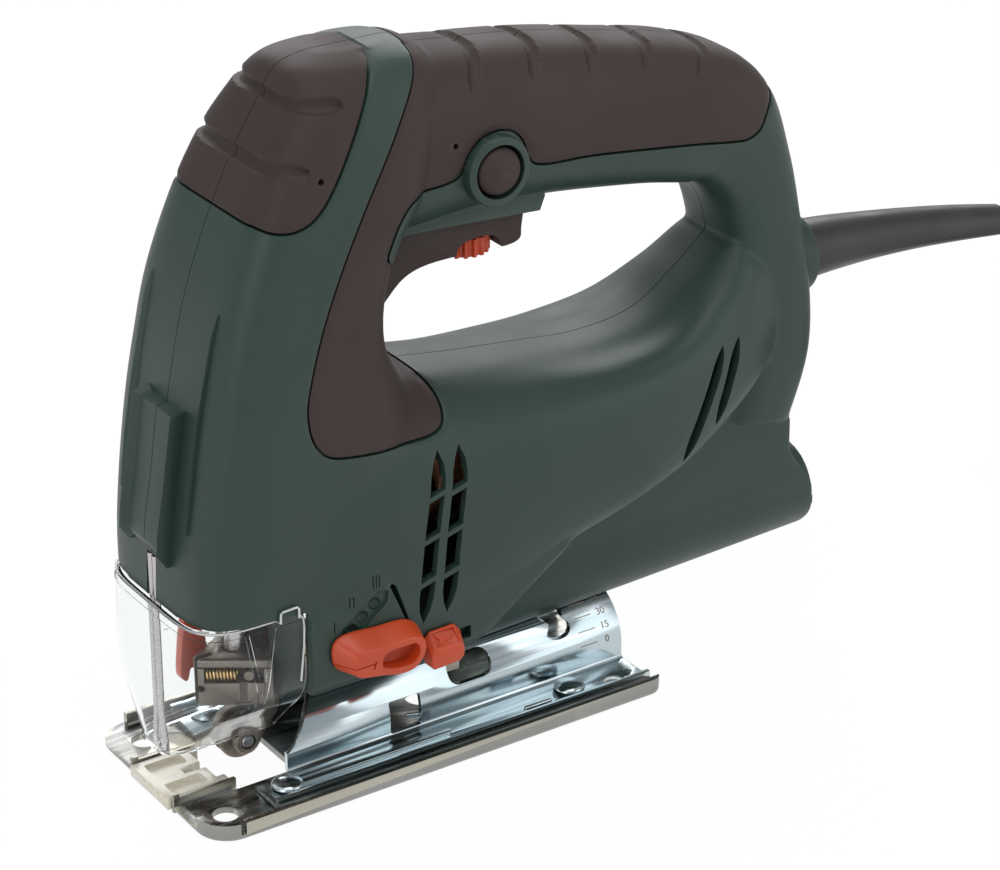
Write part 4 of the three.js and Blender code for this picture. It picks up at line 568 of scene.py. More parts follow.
# Grooves of the handle: x and z of the lower end, lean to the rear.
# Level grooves of the cap: height, x of the rear end.
GRIP_GROOVES = [(19.8, 194.2, 0.6), (40, 193, 0.6), (59.6, 190.8, 0.65), (78.2, 187.4, 0.75),
                (96.4, 182.4, 0.85)]
PAD_GROOVES = [(200.2, -21.4), (185.6, -34.4)]
DOTS = [(-31.4, 182.6), (13.3, 181.2)]
ORBIT_MARKS = [(-21.7, 63.3, 3.9), (-20.75, 63.3, 3.9), (-19.8, 63.3, 3.9), (-29.1, 59.3, 3.3),
               (-27.9, 59.3, 3.3), (-34.5, 53.5, 3.3)]
DIMPLES = [(-28.4, 52.1), (-25.1, 55.3), (-21.1, 58.3)]


def between(rows, share):
    """Smooth values between rows of numbers; share runs from 0 to 1 over all rows."""
    rows = np.asarray(rows, float)
    span = share * (len(rows) - 1)
    i = min(int(math.floor(span)), len(rows) - 2)
    f = span - i
    p0, p1, p2, p3 = (rows[max(0, min(len(rows) - 1, k))] for k in (i - 1, i, i + 1, i + 2))
    v0, v1 = (p2 - p0) / 2, (p3 - p1) / 2
    a, b = 2 * p1 - 2 * p2 + v0 + v1, -3 * p1 + 3 * p2 - 2 * v0 - v1
    return ((a * f + b) * f + v0) * f + p1


def power(value, exponent):
    return np.sign(value) * np.abs(value) ** exponent


def nose_form(inset=0, steps=36, around=72):
    turn = np.arange(around) * 2 * math.pi / around
    c, s = np.cos(turn), np.sin(turn)
    rings = []
    for k in range(steps + 1):
        z, front, mid, back, half, ef, eb = between(NOSE_LEVELS, k / steps)
        t = min(max((z - 150) / 55, 0), 1)
        level = z - inset * t * t * (3 - 2 * t)
        e = np.where(c < 0, ef, eb)
        reach = np.where(c < 0, mid - front, back - mid) - inset
        rings.append(np.stack([mid + reach * power(c, 2 / e), (half - inset) * power(s, 2 / e),
                               np.full(around, level)], 1))
    return loft("nose", rings)


def handle_form(inset=0, steps=66, around=56):
    turn = np.arange(around) * 2 * math.pi / around
    rings = []
    for k in range(steps + 1):
        x, z, high, half, e = between(HANDLE_PATH, k / steps)
        before, after = (between(HANDLE_PATH, min(max(k / steps + d, 0), 1)) for d in (-0.01, 0.01))
        along = (after - before)[:2]
        along /= np.linalg.norm(along)
        across = (high - inset) * power(np.cos(turn), 2 / e)
        y = (half - inset) * power(np.sin(turn), 2 / e)
        rings.append(np.stack([x - along[1] * across, y, z + along[0] * across], 1))
    return loft("handle", rings)


def round_trip(points, per_span):
    """A closed smooth curve through points (centripetal Catmull-Rom)."""
    points = np.asarray(points, float)
    n = len(points)
    out = []
    for i in range(n):
        p = [points[(i + k - 1) % n] for k in range(4)]
        t = [0.0]
        for a, b in zip(p, p[1:]):
            t.append(t[-1] + max(np.linalg.norm(b - a), 1e-9) ** 0.5)
        for j in range(per_span):
            u = t[1] + (t[2] - t[1]) * j / per_span
            a1, a2, a3 = (((t[k + 1] - u) * p[k] + (u - t[k]) * p[k + 1]) / (t[k + 1] - t[k])
                          for k in range(3))
            b1 = ((t[2] - u) * a1 + (u - t[0]) * a2) / (t[2] - t[0])
            b2 = ((t[3] - u) * a2 + (u - t[1]) * a3) / (t[3] - t[1])
            out.append(((t[2] - u) * b1 + (u - t[1]) * b2) / (t[2] - t[1]))
    return np.array(out)


def motor_form(inset=0, steps=45, per_span=4):
    rings = []
    for k in range(steps + 1):
        x, low, ledge, mid, crease, top, wl, wm, wc, wt = between(MOTOR_STATIONS, k / steps)
        shoulder = top - 3
        right = [(wt * 0.5, top), (wt, shoulder + 1.6), ((wt + wc) / 2 + 2, (shoulder + crease) / 2 + 2.4),
                 (wc, crease),
                 (wm, mid), (wl, ledge + 1), (wl * 0.8, ledge - 1.4), (wl * 0.4, low)]
        ring = round_trip(right + [(-y, z) for y, z in reversed(right)], per_span)
        centre, high = (low + top) / 2, (top - low) / 2
        y = ring[:, 0] * (1 - inset / wm)
        z = centre + (ring[:, 1] - centre) * (1 - inset / high)
        shift = inset if k == 0 else -inset if k == steps else 0
        rings.append(np.stack([np.full(len(y), x + shift), y, z], 1))
    return loft("motor", rings)


def foot_form():
    crown = ARCH_Z + ARCH_RADIUS
    left = [(-30.5, 62), (-FOOT_HALF, 57), (-FOOT_HALF, FOOT_LOW + 3.5), (-FOOT_HALF + 3, FOOT_LOW),
            (-16.5, FOOT_LOW), (-12.5, crown)]
    section = slab("foot", left + [(-y, z) for y, z in reversed(left)], FOOT_FRONT, FOOT_BACK + 34, "x")
    side = slab("foot_side", [
        (FOOT_FRONT, 10), (FOOT_BACK - 4, 10), (FOOT_BACK - 4, FOOT_LOW), (FOOT_BACK, FOOT_LOW + 2),
        (FOOT_BACK + 14, FOOT_LOW + 12), (FOOT_BACK + 34, FOOT_LOW + 26), (FOOT_FRONT,
                                                                           FOOT_LOW + 28)], -60, 60)
    return combine(section, side, "INTERSECT")


def spout_axis(x):
    return SPOUT_Z - (SPOUT_END - x) * math.tan(SPOUT_RISE)


def along_spout(name, radius, start, end, segments=72):
    turn = full_turn(segments)
    rings = []
    for x in (start, end):
        rings.append([(x - radius * math.sin(t) * math.sin(SPOUT_RISE), radius * math.cos(t),
                       spout_axis(x) + radius * math.sin(t) * math.cos(SPOUT_RISE)) for t in turn])
    return loft(name, rings)


def rounded(x0, x1, y0, y1, radius, segments=6):
    points = []
    for cx, cy, start in ((x1 - radius, y0 + radius, -90), (x1 - radius, y1 - radius, 0),
                          (x0 + radius, y1 - radius, 90),
                          (x0 + radius, y0 + radius, 180)):
        for k in range(segments + 1):
            angle = math.radians(start + 90 * k / segments)
            points.append((cx + radius * math.cos(angle), cy + radius * math.sin(angle)))
    return points


def spout_web():
    web = slab("web", rounded(-SPOUT_WEB, SPOUT_WEB, spout_axis(40), 76, 3), FOOT_BACK - 6, SPOUT_END + 8,
               "x")
    side = slab("web_side", [
        (FOOT_BACK - 6, 26), (SPOUT_END - 4, 30), (SPOUT_END - 4, 44), (SPOUT_END - 9, 52), (SPOUT_END - 10,
                                                                                             66),
        (SPOUT_END - 12, 76), (SPOUT_END - 30, 90), (FOOT_BACK - 6, 90)], -40, 40)
    return combine(web, side, "INTERSECT")


def body_skin():
    """The whole outer form in one skin: the forms joined, then blended where they meet."""
    skin = unite(nose_form(), handle_form(), motor_form(), foot_form(), spout_web(), along_spout("spout",
        SPOUT_RADIUS, 0, SPOUT_END - 1))
    skin.name = "skin"
    remesh = skin.modifiers.new("even", "REMESH")
    remesh.mode, remesh.voxel_size = "VOXEL", 0.8 * MM
    smooth = skin.modifiers.new("blend", "SMOOTH")
    smooth.factor, smooth.iterations = 0.5, 12
    return settled(skin)


# ---- shells and soft grips ----
def grown(outline, by):
    """An anticlockwise outline, grown by moving its points along their normals."""
    out = []
    for i, (x, z) in enumerate(outline):
        before, after = outline[i - 1], outline[(i + 1) % len(outline)]
        way = Vector((after[0] - before[0], after[1] - before[1])).normalized()
        out.append((x + way.y * by, z - way.x * by))
    return out


def seam_distance(x, z, outline):
    """Distance in the side view from points to a closed outline."""
    nearest = np.full(len(x), 1e9)
    for (ax, az), (bx, bz) in zip(outline, outline[1:] + outline[:1]):
        dx, dz = bx - ax, bz - az
        t = np.clip(((x - ax) * dx + (z - az) * dz) / (dx * dx + dz * dz), 0, 1)
        nearest = np.minimum(nearest, np.hypot(x - ax - t * dx, z - az - t * dz))
    return nearest


def soften_seams(skin, grip_line, pad_line):
    """Draws the surface in beside the grip seams, so their edges look moulded, and along the grooves."""
    mesh = skin.data
    count = len(mesh.vertices)
    place, normal = np.empty(count * 3), np.empty(count * 3)
    mesh.vertices.foreach_get("co", place)
    mesh.vertices.foreach_get("normal", normal)
    place, normal = place.reshape(-1, 3) / MM, normal.reshape(-1, 3)
    x, y, z = place.T
    depth = np.zeros(count)
    for outline in (grip_line, pad_line):
        away = seam_distance(x, z, outline)
        depth = np.maximum(depth, SEAM_DEPTH * np.exp(-(away / SEAM_SPREAD) ** 2) * (np.abs(normal[:,
            1]) > 0.15))
    for foot_x, foot_z, lean in GRIP_GROOVES:
        along = (x - foot_x) * math.sin(lean) + (z - foot_z) * math.cos(lean)
        across = (x - foot_x) * math.cos(lean) - (z - foot_z) * math.sin(lean)
        half = GRIP_GROOVE_HALF * np.clip(along / 4, 1e-6, 1) ** 0.5
        groove = GROOVE_DEPTH * np.clip(1 - (across / half) ** 2, 0, 1) ** 0.7
        depth = np.maximum(depth, groove * np.clip(along / 2.5, 0, 1))
    for height, end in PAD_GROOVES:
        flare = PAD_GROOVE_HALF + PAD_GROOVE_FLARE * np.clip((x - end + 16) / 12, 0, 1)
        half = flare * np.sqrt(np.clip((end - x) / 2.5, 1e-6, 1))
        depth = np.maximum(depth, GROOVE_DEPTH * np.clip(1 - ((z - height) / half) ** 2, 0, 1) ** 0.7)
    place -= normal * depth[:, None]
    mesh.vertices.foreach_set("co", (place * MM).ravel())
    mesh.update()
    return skin


def core_form(inset, fine=2):
    return unite(nose_form(inset, 12 * fine, 24 * fine), handle_form(inset, 22 * fine, 18 * fine),
                 motor_form(inset, 15 * fine, fine))


def cavity():
    drive = combine(nose_form(WALL, 12, 24), block("room", -80, 40, -40, 40, 71.5, 220), "INTERSECT")
    handle = combine(handle_form(WALL, 22, 16), block("room", -30, 170, -40, 40, 74, 220), "INTERSECT")
    room = unite(block("room", -35, -10, -40, 40, 60, 140), block("room", -10.5, 127, -40, 40, 50, 140))
    motor = combine(motor_form(WALL, 15, 2), room, "INTERSECT")
    return unite(drive, handle, motor)


def pockets():
    """What the two shells leave room for, in one tool."""
    tools = [
        rod("saddle", ARCH_RADIUS + 0.5, -58, 78, "x", (0, ARCH_Z), 72),
        slab("bay", rounded(-66.5, -39, -17, 17, 3), 60.5, 68.5, "z"),
        block("front", -90, FOOT_FRONT, -60, 60, 0, 61.5),
        block("fork_slot", -42, -30, -7.6, 7.6, 20, 58),
        block("fork_tail", -42, LEVER_X + 6, -7.6, 7.6, 36, 49.2),
        block("duct", -42, 86, -8, 8, 27.1, 38.5),
        along_spout("spout_bore", SPOUT_RADIUS - SPOUT_WALL, 82, SPOUT_END + 1),
        block("wire_slit", -90, -70.55, -2.55, 2.55, 60.5, 75.3),
        rod("plunger_hole", 6.3, 67.5, 72.5, "z", (-48, 0)),
        block("trigger_room", -5.5, 43.2, -TRIGGER_HALF - 0.5, TRIGGER_HALF + 0.5, 125, 172.8),
        rod("lock_hole", LOCK_RADIUS + 0.9, LOCK_FACE - 2, -9, "y", (LOCK_X, LOCK_Z)),
        rod("cam_hole", 3.3, -FOOT_HALF - 2, 12, "y", (LEVER_X, LEVER_Z)),
        block("slider_track", -4, 9.8, -FOOT_HALF - 1, -FOOT_HALF + 3, 38.6, 42.4),
        rod("sleeve_hole", 9.7, 137, 160, "x", (0, CORD_Z)),
        rod("collar_room", 12.2, 133.7, 137.3, "x", (0, CORD_Z)),
        rod("fork_pin_hole", 2.3, -11.3, 11.3, "y", FORK_PIN_PLACE),
        rod("clamp_screw_hole", 2.8, 20, 36.3, "z", CLAMP_SCREW_PLACE),
        rod("release_hole", 1.9, 9, 21.3, "y", RELEASE_PLACE),
    ]
    for x, z in SCREW_PLACES:
        tools.append(rod("screw_hole", 2.2, -9.5, 11, "y", (x, z), 24))
        tools.append(rod("head_hole", 4.1, 10, 40, "y", (x, z), 36))
    return unite(*tools)


def vent_windows():
    """Slots with pointed ends on both sides, crossed by slanted ribs, in a wall thinned from inside."""
    slots, ribs = [], []
    for foot, head, width, count in VENTS:
        foot, head = Vector(foot), Vector(head)
        along = (head - foot).normalized()
        side = Vector((along.y, -along.x)) * width / 2
        outline = []
        for sign in (1, -1):
            for k in range(15):
                share = (k if sign > 0 else 14 - k) / 14
                half = min(1, min(share, 1 - share) * (head - foot).length / 6.5) ** 0.6
                outline.append(tuple(foot.lerp(head, share) + side * sign * half))
        slots += [slab("vent", outline[::-1], -40, -22), slab("vent", outline[::-1], 22, 40)]
        for k in range(1, count):
            x, z = foot.lerp(head, k / count)
            ribs.append(slab("rib", [(x - 4, z - 2), (x + 4, z + 0.4), (x + 4, z + 1.9), (x - 4, z - 0.5)],
                             -45, 45))
    vents = cut(unite(*slots), unite(*ribs))
    return unite(vents, block("thin_wall", -11, 11, -30.2, 30.2, 47, 90))


def soft_slab(name, outline, half, edge):
    """A slab across y with its side edges chamfered in three steps."""
    levels = []
    for share in (1, 0.7, 0.3, 0):
        angle = share * math.pi / 2
        levels.append((-half + edge * (1 - math.sin(angle)), -edge * (1 - math.cos(math.pi / 2 - angle))))
    shapes = [(y, grown(outline, inset)) for y, inset in levels]
    shapes += [(-y, grown(outline, inset)) for y, inset in levels[::-1]]
    return loft(name, [[(x, y, z) for x, z in shape] for y, shape in shapes])


def nose_panels():
    lower = [(-58, 75.6), (-73.4, 75.6), (-76.3, 80), (-75.6, 87), (-73.4, 99), (-70.2, 119.4),
             (-58, 121.4)][::-1]
    upper = [(-52, 86), (-71.4, 88), (-69.4, 104), (-66.2, 121), (-61.2, 143), (-58.9, 148.6), (-56, 151.5),
             (-48, 152)][::-1]
    return unite(soft_slab("pod", lower, 10.5, 2), soft_slab("panel", upper, 18, 1.4))


def trigger_skirt():
    outline = [(-8, 155), (2, 155.6), (16, 155), (45.7, 153), (47.3, 157), (46.3, 171.8), (-8, 171.8)]
    return soft_slab("skirt", outline, TRIGGER_HALF + 4.5, 1.2)


def turned(name, profile, axis, centre, segments=64):
    """A turned piece: profile points are (radius, place along the axis)."""
    rings, turn = [], full_turn(segments)
    for radius, level in profile:
        radius = max(radius, 1e-4)
        ring = [(centre[0] + radius * math.cos(t), centre[1] + radius * math.sin(t)) for t in turn]
        rings.append([ACROSS[axis](a, b, level) for a, b in ring])
    return loft(name, rings)


def lock_boss():
    edge, face, radius = 1.2, LOCK_FACE, LOCK_BOSS
    profile = [(radius, -8), (radius, face + edge), (radius - 0.35, face + 0.35), (radius - edge, face)]
    return turned("lock_boss", profile[::-1], "y", (LOCK_X, LOCK_Z))


def cord_boss():
    return turned("cord_boss", [(12.6, 126), (12.6, 146), (12.2, 147.3), (11.4, 148)], "x", (0, CORD_Z))


def halves(piece, name, body, slot):
    """Splits a piece at the parting plane into its left and right shell."""
    for side, low, high in (("left", -100, -PARTING_HALF), ("right", PARTING_HALF, 100)):
        half = combine(copy_of(piece, f"{name}_{side}_look"), block("half", -150, 250, low, high, -50, 300),
                       "INTERSECT")
        placed(half, slot, body, f"{name}_{side}", sharp=32)
    bpy.data.objects.remove(piece)


def side_marks():
    """The orbit stages I, II, III, a dimple for each, and the slot where the lever's edge passes."""
    tools = [block("mark", x - 0.17, x + 0.17, -40, -31.1 if z > 60 else -30.5, z, z + height) for x, z,
             height in ORBIT_MARKS]
    band = slab("band", [(-33, 50.6), (-29.4, 48.4), (-17.6, 58.2), (-17, 61.6), (-20.4, 62.6),
                         (-32.2, 54)], -40, -31.3)
    tools.append(softened(band, 0.2, 2))
    for x, z in DIMPLES:
        tools.append(turned("dimple", [(0, -40), (1.95, -40), (1.9, -31.2), (1.6, -30.5), (1, -30),
                                       (0, -29.8)], "y", (x, z), 32))
    tools.append(slab("slit", [(-16.6, 62.6), (-15.9, 63.3), (-14.6, 62.4), (-10.2, 49.4), (-11.8, 51)],
                      -40, -28))
    return unite(*tools)


def make_shells():
    grip_line, pad_line = wavy(GRIP_OUTLINE, 5), wavy(PAD_OUTLINE, 5)
    skin = soften_seams(body_skin(), grip_line, pad_line)
    outer = copy_of(skin, "outer")
    unite(outer, nose_panels(), lock_boss(), trigger_skirt(), cord_boss())
    grip_slab = slab("grip_room", grown(grip_line, GRIP_SEAM), -45, 45)
    pad_slab = slab("pad_room", grown(pad_line, GRIP_SEAM), -45, 45)
    soft_room = cut(unite(grip_slab, pad_slab), core_form(GRIP_DEPTH + 0.3))
    cut(soft_room, unite(lock_boss(), trigger_skirt()))
    cut(outer, cavity(), soft_room, pockets(), vent_windows(), side_marks())
    halves(outer, "housing", "saw", "shell_green")

    core = core_form(GRIP_DEPTH)
    clear = unite(rod("boss_room", LOCK_BOSS + GRIP_SEAM, -40, 0, "y", (LOCK_X, LOCK_Z), 64),
                  rod("screw_room", 4.6, 10, 40, "y", SCREW_PLACES[2], 36), trigger_skirt())
    grip = combine(copy_of(skin, "grip"), slab("grip_slab", grip_line, -45, 45), "INTERSECT")
    combine(grip, core, "DIFFERENCE", keep=True)
    cut(grip, clear)
    cut(grip, rod("pin_dot", 0.9, -40, -17, "y", DOTS[1], 24))
    halves(grip, "grip", "saw", "soft_grip")
    pad = combine(copy_of(skin, "pad"), slab("pad_slab", pad_line, -45, 45), "INTERSECT")
    cut(pad, core)
    cut(pad, nose_panels())
    cut(pad, rod("pin_dot", 0.9, -40, -22, "y", DOTS[0], 24))
    halves(pad, "nose_pad", "saw", "soft_grip")
    bpy.data.objects.remove(skin)


# ---- tools for the small pieces ----
def softened(piece, width, segments=3, degrees=30):
    """Rounds every edge sharper than degrees."""
    bevel = piece.modifiers.new("round", "BEVEL")
    bevel.width, bevel.segments = width * MM, segments
    bevel.limit_method, bevel.angle_limit = "ANGLE", math.radians(degrees)
    return settled(piece)


def placed(piece, slot, body, *nodes, sharp=35):
    """Gives a piece its shading, finish and body, and hides the CAD nodes that it stands for."""
    if piece.type == "MESH":
        shade(piece, sharp)
    finish_of(piece, slot)
    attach(piece, body)
    if nodes:
        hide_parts(*nodes)
    return piece


def smooth_line(points, per_span):
    """An open smooth curve through points."""
    points = np.asarray(points, float)
    last = len(points) - 1
    return np.array([between(points, k / (last * per_span)) for k in range(last * per_span + 1)])


def tube(name, line, radius, around=16):
    """A round tube along a line; radius is one number, or one for each point."""
    line = [Vector(p) for p in line]
    radii = radius if hasattr(radius, "__len__") else [radius] * len(line)
    rings, side = [], None
    for i, point in enumerate(line):
        way = (line[min(i + 1, len(line) - 1)] - line[max(i - 1, 0)]).normalized()
        side = side or way.orthogonal()
        side = (side - way * side.dot(way)).normalized()
        up = way.cross(side)
        rings.append([point + radii[i] * (math.cos(t) * side + math.sin(t) * up) for t in full_turn(around)])
    return loft(name, rings)


def wavy(outline, per_span=6):
    return [tuple(p) for p in round_trip(outline, per_span)]


def mirrored(outline):
    return [(x, -y) for x, y in outline][::-1]


# ---- base plate and bevel bracket ----
BASE_X, BASE_Y, SHEET, FLANGE_TOP = 76, 35.5, 2, 5.6
FRONT_RADIUS, REAR_RADIUS = 10, 4
INSERT_HALF, SEAT = 11, 0.3
BRACKET_SHEET, BRACKET_FRONT, BRACKET_BACK, BRACKET_HALF, ARCH_FRONT = 1.5, -53, 74, 31, -41.5
RIVETS = [(-45.5, -23), (-45.5, 23), (50.5, -23), (50.5, 23)]
HANG_HOLE = (63.8, 26.8)


def corner(cx, cy, radius, start, end, steps=10):
    angles = [math.radians(start + (end - start) * k / steps) for k in range(steps + 1)]
    return [(cx + radius * math.cos(a), cy + radius * math.sin(a)) for a in angles]


def base_plate():
    def outline(by):
        x, y, front, rear = BASE_X - by, BASE_Y - by, FRONT_RADIUS - by, REAR_RADIUS - by
        return (corner(x - rear, -y + rear, rear, -90, 0) + corner(x - rear, y - rear, rear, 0, 90)
                + corner(-x + front, y - front, front, 90, 180) + corner(-x + front, -y + front, front, 180,
                                                                         270))
    bend = 1.8
    levels = [(bend * (1 - math.sin(t)), bend * (1 - math.cos(t))) for t in (math.pi / 2 * k / 5
                                                                             for k in range(6))]
    rings = [[(x, y, z) for x, y in outline(by)] for by, z in levels]
    plate = loft("base_plate_look", rings + [[(x, y, FLANGE_TOP) for x, y in outline(0)]])
    tray = softened(slab("tray", rounded(-BASE_X + SHEET, BASE_X + 8, -BASE_Y + SHEET, BASE_Y - SHEET, 8),
                         SHEET, 8, "z"), 0.7, 3)
    gap = INSERT_HALF + SEAT
    tools = [
        tray,
        block("rim_front", -78, -63.6, -10.5, 10.5, SHEET, 8),
        slab("insert_slot", rounded(-80, -56, -gap, gap, 1), -1, 8, "z"),
        slab("opening", rounded(-60, -37, -14, 14, 4), -1, 8, "z"),
        rod("key_hole", 5, -1, 4, "z", CLAMP_SCREW_PLACE),
    ]
    for y in (-BASE_Y, BASE_Y):
        tools.append(slab("nick", rounded(-67.4, -65.8, y - 5, y + 5, 0.6), SHEET, 8, "z"))
        tools.append(rod("screw_slot", 3.8, -1, 4, "z", (-65.7, math.copysign(23.5, y))))
        tools.append(rod("hang_hole", 3.8, -1, 4, "z", (HANG_HOLE[0], math.copysign(HANG_HOLE[1], y))))
    tools += [block("front_edge", -78, -73.4, -25.5, -gap - 1.3, SHEET, 8), block("far_corner", -78, -67.4,
                                                                                  gap + 1.3, 40, SHEET, 8)]
    tools += [rod("rivet_hole", 2.8, -1, 4, "z", place) for place in RIVETS]
    cut(plate, *tools)
    for side in (-1, 1):
        low, high = sorted((side * gap, side * (gap + 1.2)))
        unite(plate, block("insert_rail", -75.9, -56, low, high, 0.02, FLANGE_TOP - 1))
    placed(softened(plate, 0.22, 2, 50), "base_steel", "base", "base_plate")


def ribbon(line, thickness):
    """The outline of a strip of even thickness along a line."""
    line = np.asarray(line, float)
    way = np.gradient(line, axis=0)
    way /= np.linalg.norm(way, axis=1)[:, None]
    side = np.stack([-way[:, 1], way[:, 0]], 1) * thickness / 2
    return [tuple(p) for p in line + side] + [tuple(p) for p in (line - side)[::-1]]


def bracket_line():
    """The middle of the folded sheet from the left flange over the arch to the right one."""
    middle = BRACKET_SHEET / 2
    foot, centre_radius, half = SHEET + SEAT + middle, ARCH_RADIUS - middle, BRACKET_HALF - middle
    right = ([(half, foot + 2.85), (half, foot + 1.5)] + corner(half - 1.5, foot + 1.5, 1.5, 0, -90, 5)[1:]
             + [(24, foot)] + corner(centre_radius + 2, foot + 2, 2, 270, 180, 6))
    arch = corner(0, ARCH_Z, centre_radius, 0, 180, 64)
    return right + arch + [(-y, z) for y, z in right[::-1]]


def bevel_bracket():
    full = slab("bevel_bracket_look", ribbon(bracket_line(), BRACKET_SHEET), BRACKET_FRONT, BRACKET_BACK, "x")
    arch_gap = ARCH_RADIUS + 1.5
    tools = [
        slab("front_gap", rounded(-60, ARCH_FRONT, -arch_gap, arch_gap, 2), -1, 40, "z"),
        slab("front_slope", [(-44, 9), (-41, 9.4), (-38.6, 11.2), (-36, 14.6), (-33.4, 18), (-29.4, 21.6),
                             (-22, 25.6), (-22, 30), (-44, 30)],
             -30, 30),
        slab("tilt_slot", rounded(9, 18, -7.5, 7.5, 3), 20, 30, "z"),
    ]
    window = rounded(13.6, 28.6, 12.6, 20.2, 3.4)
    lug_notch = rounded(-7.3, 3.2, 4.4, 14.2, 0.8)
    index_cut = wavy([(48.4, 26), (48.6, 21.4), (50.8, 19.8), (48.9, 17.2), (51.4, 15.7), (55.8, 16),
                      (57.6, 18.2),
                      (56.2, 20.4), (57.6, 22.8), (56.4, 26)], 3)
    hook_slot = rounded(32.5, 41, -30.2, -27.8, 0.6)
    for side in (-1, 1):
        low, high = sorted((side * 3, side * 22))
        wide_low, wide_high = sorted((side * 8.5, side * 22))
        tools.append(slab("window", window, wide_low, wide_high))
        tools.append(slab("lug_notch", lug_notch, wide_low, wide_high))
        tools.append(slab("index_cut", index_cut, low, high))
        tools.append(slab("hook_slot", hook_slot if side < 0 else mirrored(hook_slot), -1, 5, "z"))
        tools.append(rod("hang_hole", 3.4, -1, 8, "z", (HANG_HOLE[0], side * HANG_HOLE[1])))
    tools += [rod("rivet_hole", 2.8, -1, 8, "z", place) for place in RIVETS]
    cut(full, *tools)
    foot_top = SHEET + SEAT + BRACKET_SHEET
    for side in (-1, 1):
        bead = slab("bead", rounded(-46, 8.2, side * 23.9 - 1.5, side * 23.9 + 1.5, 1.49, 8),
                    foot_top - 0.3, foot_top + 1, "z")
        unite(full, softened(bead, 0.8, 4))
        unite(full, softened(block("hook", 32, 41.4, side * 26.9 - 0.75, side * 26.9 + 0.75, foot_top - 0.4,
                                   foot_top + 1.7), 0.5, 3))
        lug = slab("lug", [(3.6, 5.5), (2, 6), (-1.6, 7.2), (-1.2, 8.6), (2.6, 7.6), (4.6, 7.4)],
                   side * 15.1 - 0.6, side * 15.1 + 0.6)
        unite(full, softened(lug, 0.3, 2))
    placed(softened(full, 0.16, 2, 50), "zinc_steel", "base", "bevel_bracket")
    for i, (x, y) in enumerate(RIVETS):
        dome = [(4.6 * math.cos(t), 4.4 + 1.9 * math.sin(t)) for t in (math.pi / 2 * k / 8 for k in range(8))]
        profile = [(0, SEAT), (2.5, SEAT), (2.5, foot_top + SEAT), (4.4, foot_top + SEAT),
                   (4.6, 4.4)] + dome[1:] + [(0, 6.3)]
        placed(turned(f"bracket_rivet_{i + 1}_look", profile, "z", (x, y), 40), "zinc_steel", "base",
               f"bracket_rivet_{i + 1}")


def degree_scale():
    """Degree lines and numbers, printed on both flanks of the arch by the index cut."""
    marks = []
    reach = ARCH_RADIUS + 0.04
    for side in (-1, 1):
        for turn, number in ((33, "45"), (48, "30"), (63, "15"), (78, "0")):
            angle = math.radians(turn)
            way = Matrix.Rotation(-side * angle, 4, "X")
            line = block("line", 59.5, 65.5, -0.16, 0.16, -0.06, 0.04)
            text = bpy.data.curves.new("number", "FONT")
            text.body, text.size, text.extrude = number, 3.1 * MM, 0.04 * MM
            text.align_x, text.align_y = "CENTER", "CENTER"
            holder = new_object("number", text)
            depsgraph = bpy.context.evaluated_depsgraph_get()
            mesh = bpy.data.meshes.new_from_object(holder.evaluated_get(depsgraph))
            bpy.data.objects.remove(holder)
            mesh.transform(Matrix.Translation(Vector((69, 0, 0)) * MM))
            number_piece = new_object("number", mesh)
            for piece in (line, number_piece):
                up = Matrix.Translation(Vector((0, 0, reach)) * MM)
                axis = Matrix.Translation(Vector((0, 0, ARCH_Z)) * MM)
                if side > 0:
                    piece.data.transform(Matrix.Translation(Vector((64.5, 0,
                        0)) * MM * 2) @ Matrix.Rotation(math.pi, 4, "Z"))
                piece.data.transform(axis @ way @ up)
                marks.append(piece)
    scale = marks[0]
    joined = bmesh.new()
    for piece in marks:
        joined.from_mesh(piece.data)
    joined.to_mesh(scale.data)
    joined.free()
    for piece in marks[1:]:
        bpy.data.objects.remove(piece)
    scale.name = "degree_scale_look"
    placed(scale, "dark_steel", "base")


def base_clamp():
    reach = ARCH_RADIUS - BRACKET_SHEET - 0.5
    arch = combine(rod("base_clamp_look", reach, 5.5, 21.5, "x", (0, ARCH_Z), 96), block("room", 0, 30,
        -8.5, 8.5, 13, 40), "INTERSECT")
    cut(arch, rod("bore", 2.8, 0, 40, "z", CLAMP_SCREW_PLACE))
    placed(softened(arch, 0.5, 3), "cream_plastic", "saw", "base_clamp")
    screw = turned("base_clamp_screw_look", [(0, 9.2), (3.9, 9.2), (4.2, 9.6), (4.2, 12.7), (2.5, 12.7),
                                             (2.5, 35.6), (2.2, 36), (0, 36)],
                   "z", CLAMP_SCREW_PLACE, 40)
    cut(screw, rod("socket", 2.2, 9, 11.6, "z", CLAMP_SCREW_PLACE, 6))
    placed(screw, "steel", "saw", "base_clamp_screw")


def splinter_insert():
    y = INSERT_HALF
    outline = [(-77, -y), (-57, -y), (-57, -y + 3.4), (-59.6, -y + 3.4), (-59.6, -1.6), (-66, -1.2),
               (-66, 1.2), (-59.6, 1.6),
               (-59.6, y - 3.4), (-57, y - 3.4), (-57, y), (-77, y)]
    insert = softened(slab("splinter_insert_look", outline, 0.5, 4, "z"), 0.4, 3)
    for side in (-1, 1):
        cut(insert, slab("pocket", rounded(-74, -62.5, side * 6 - 2.6, side * 6 + 2.6, 1), 2.4, 5, "z"))
    placed(insert, "cream_plastic", "insert", "splinter_insert")


# ---- blade drive, roller and clamp ----
PLUNGER_X = -48
CLAMP_TURN = math.radians(-33.9)  # the clamp's flat face looks forward and to the left
CLAMP_LOW, CLAMP_TOP, CLAMP_FACE = 23.8, 38.8, -8


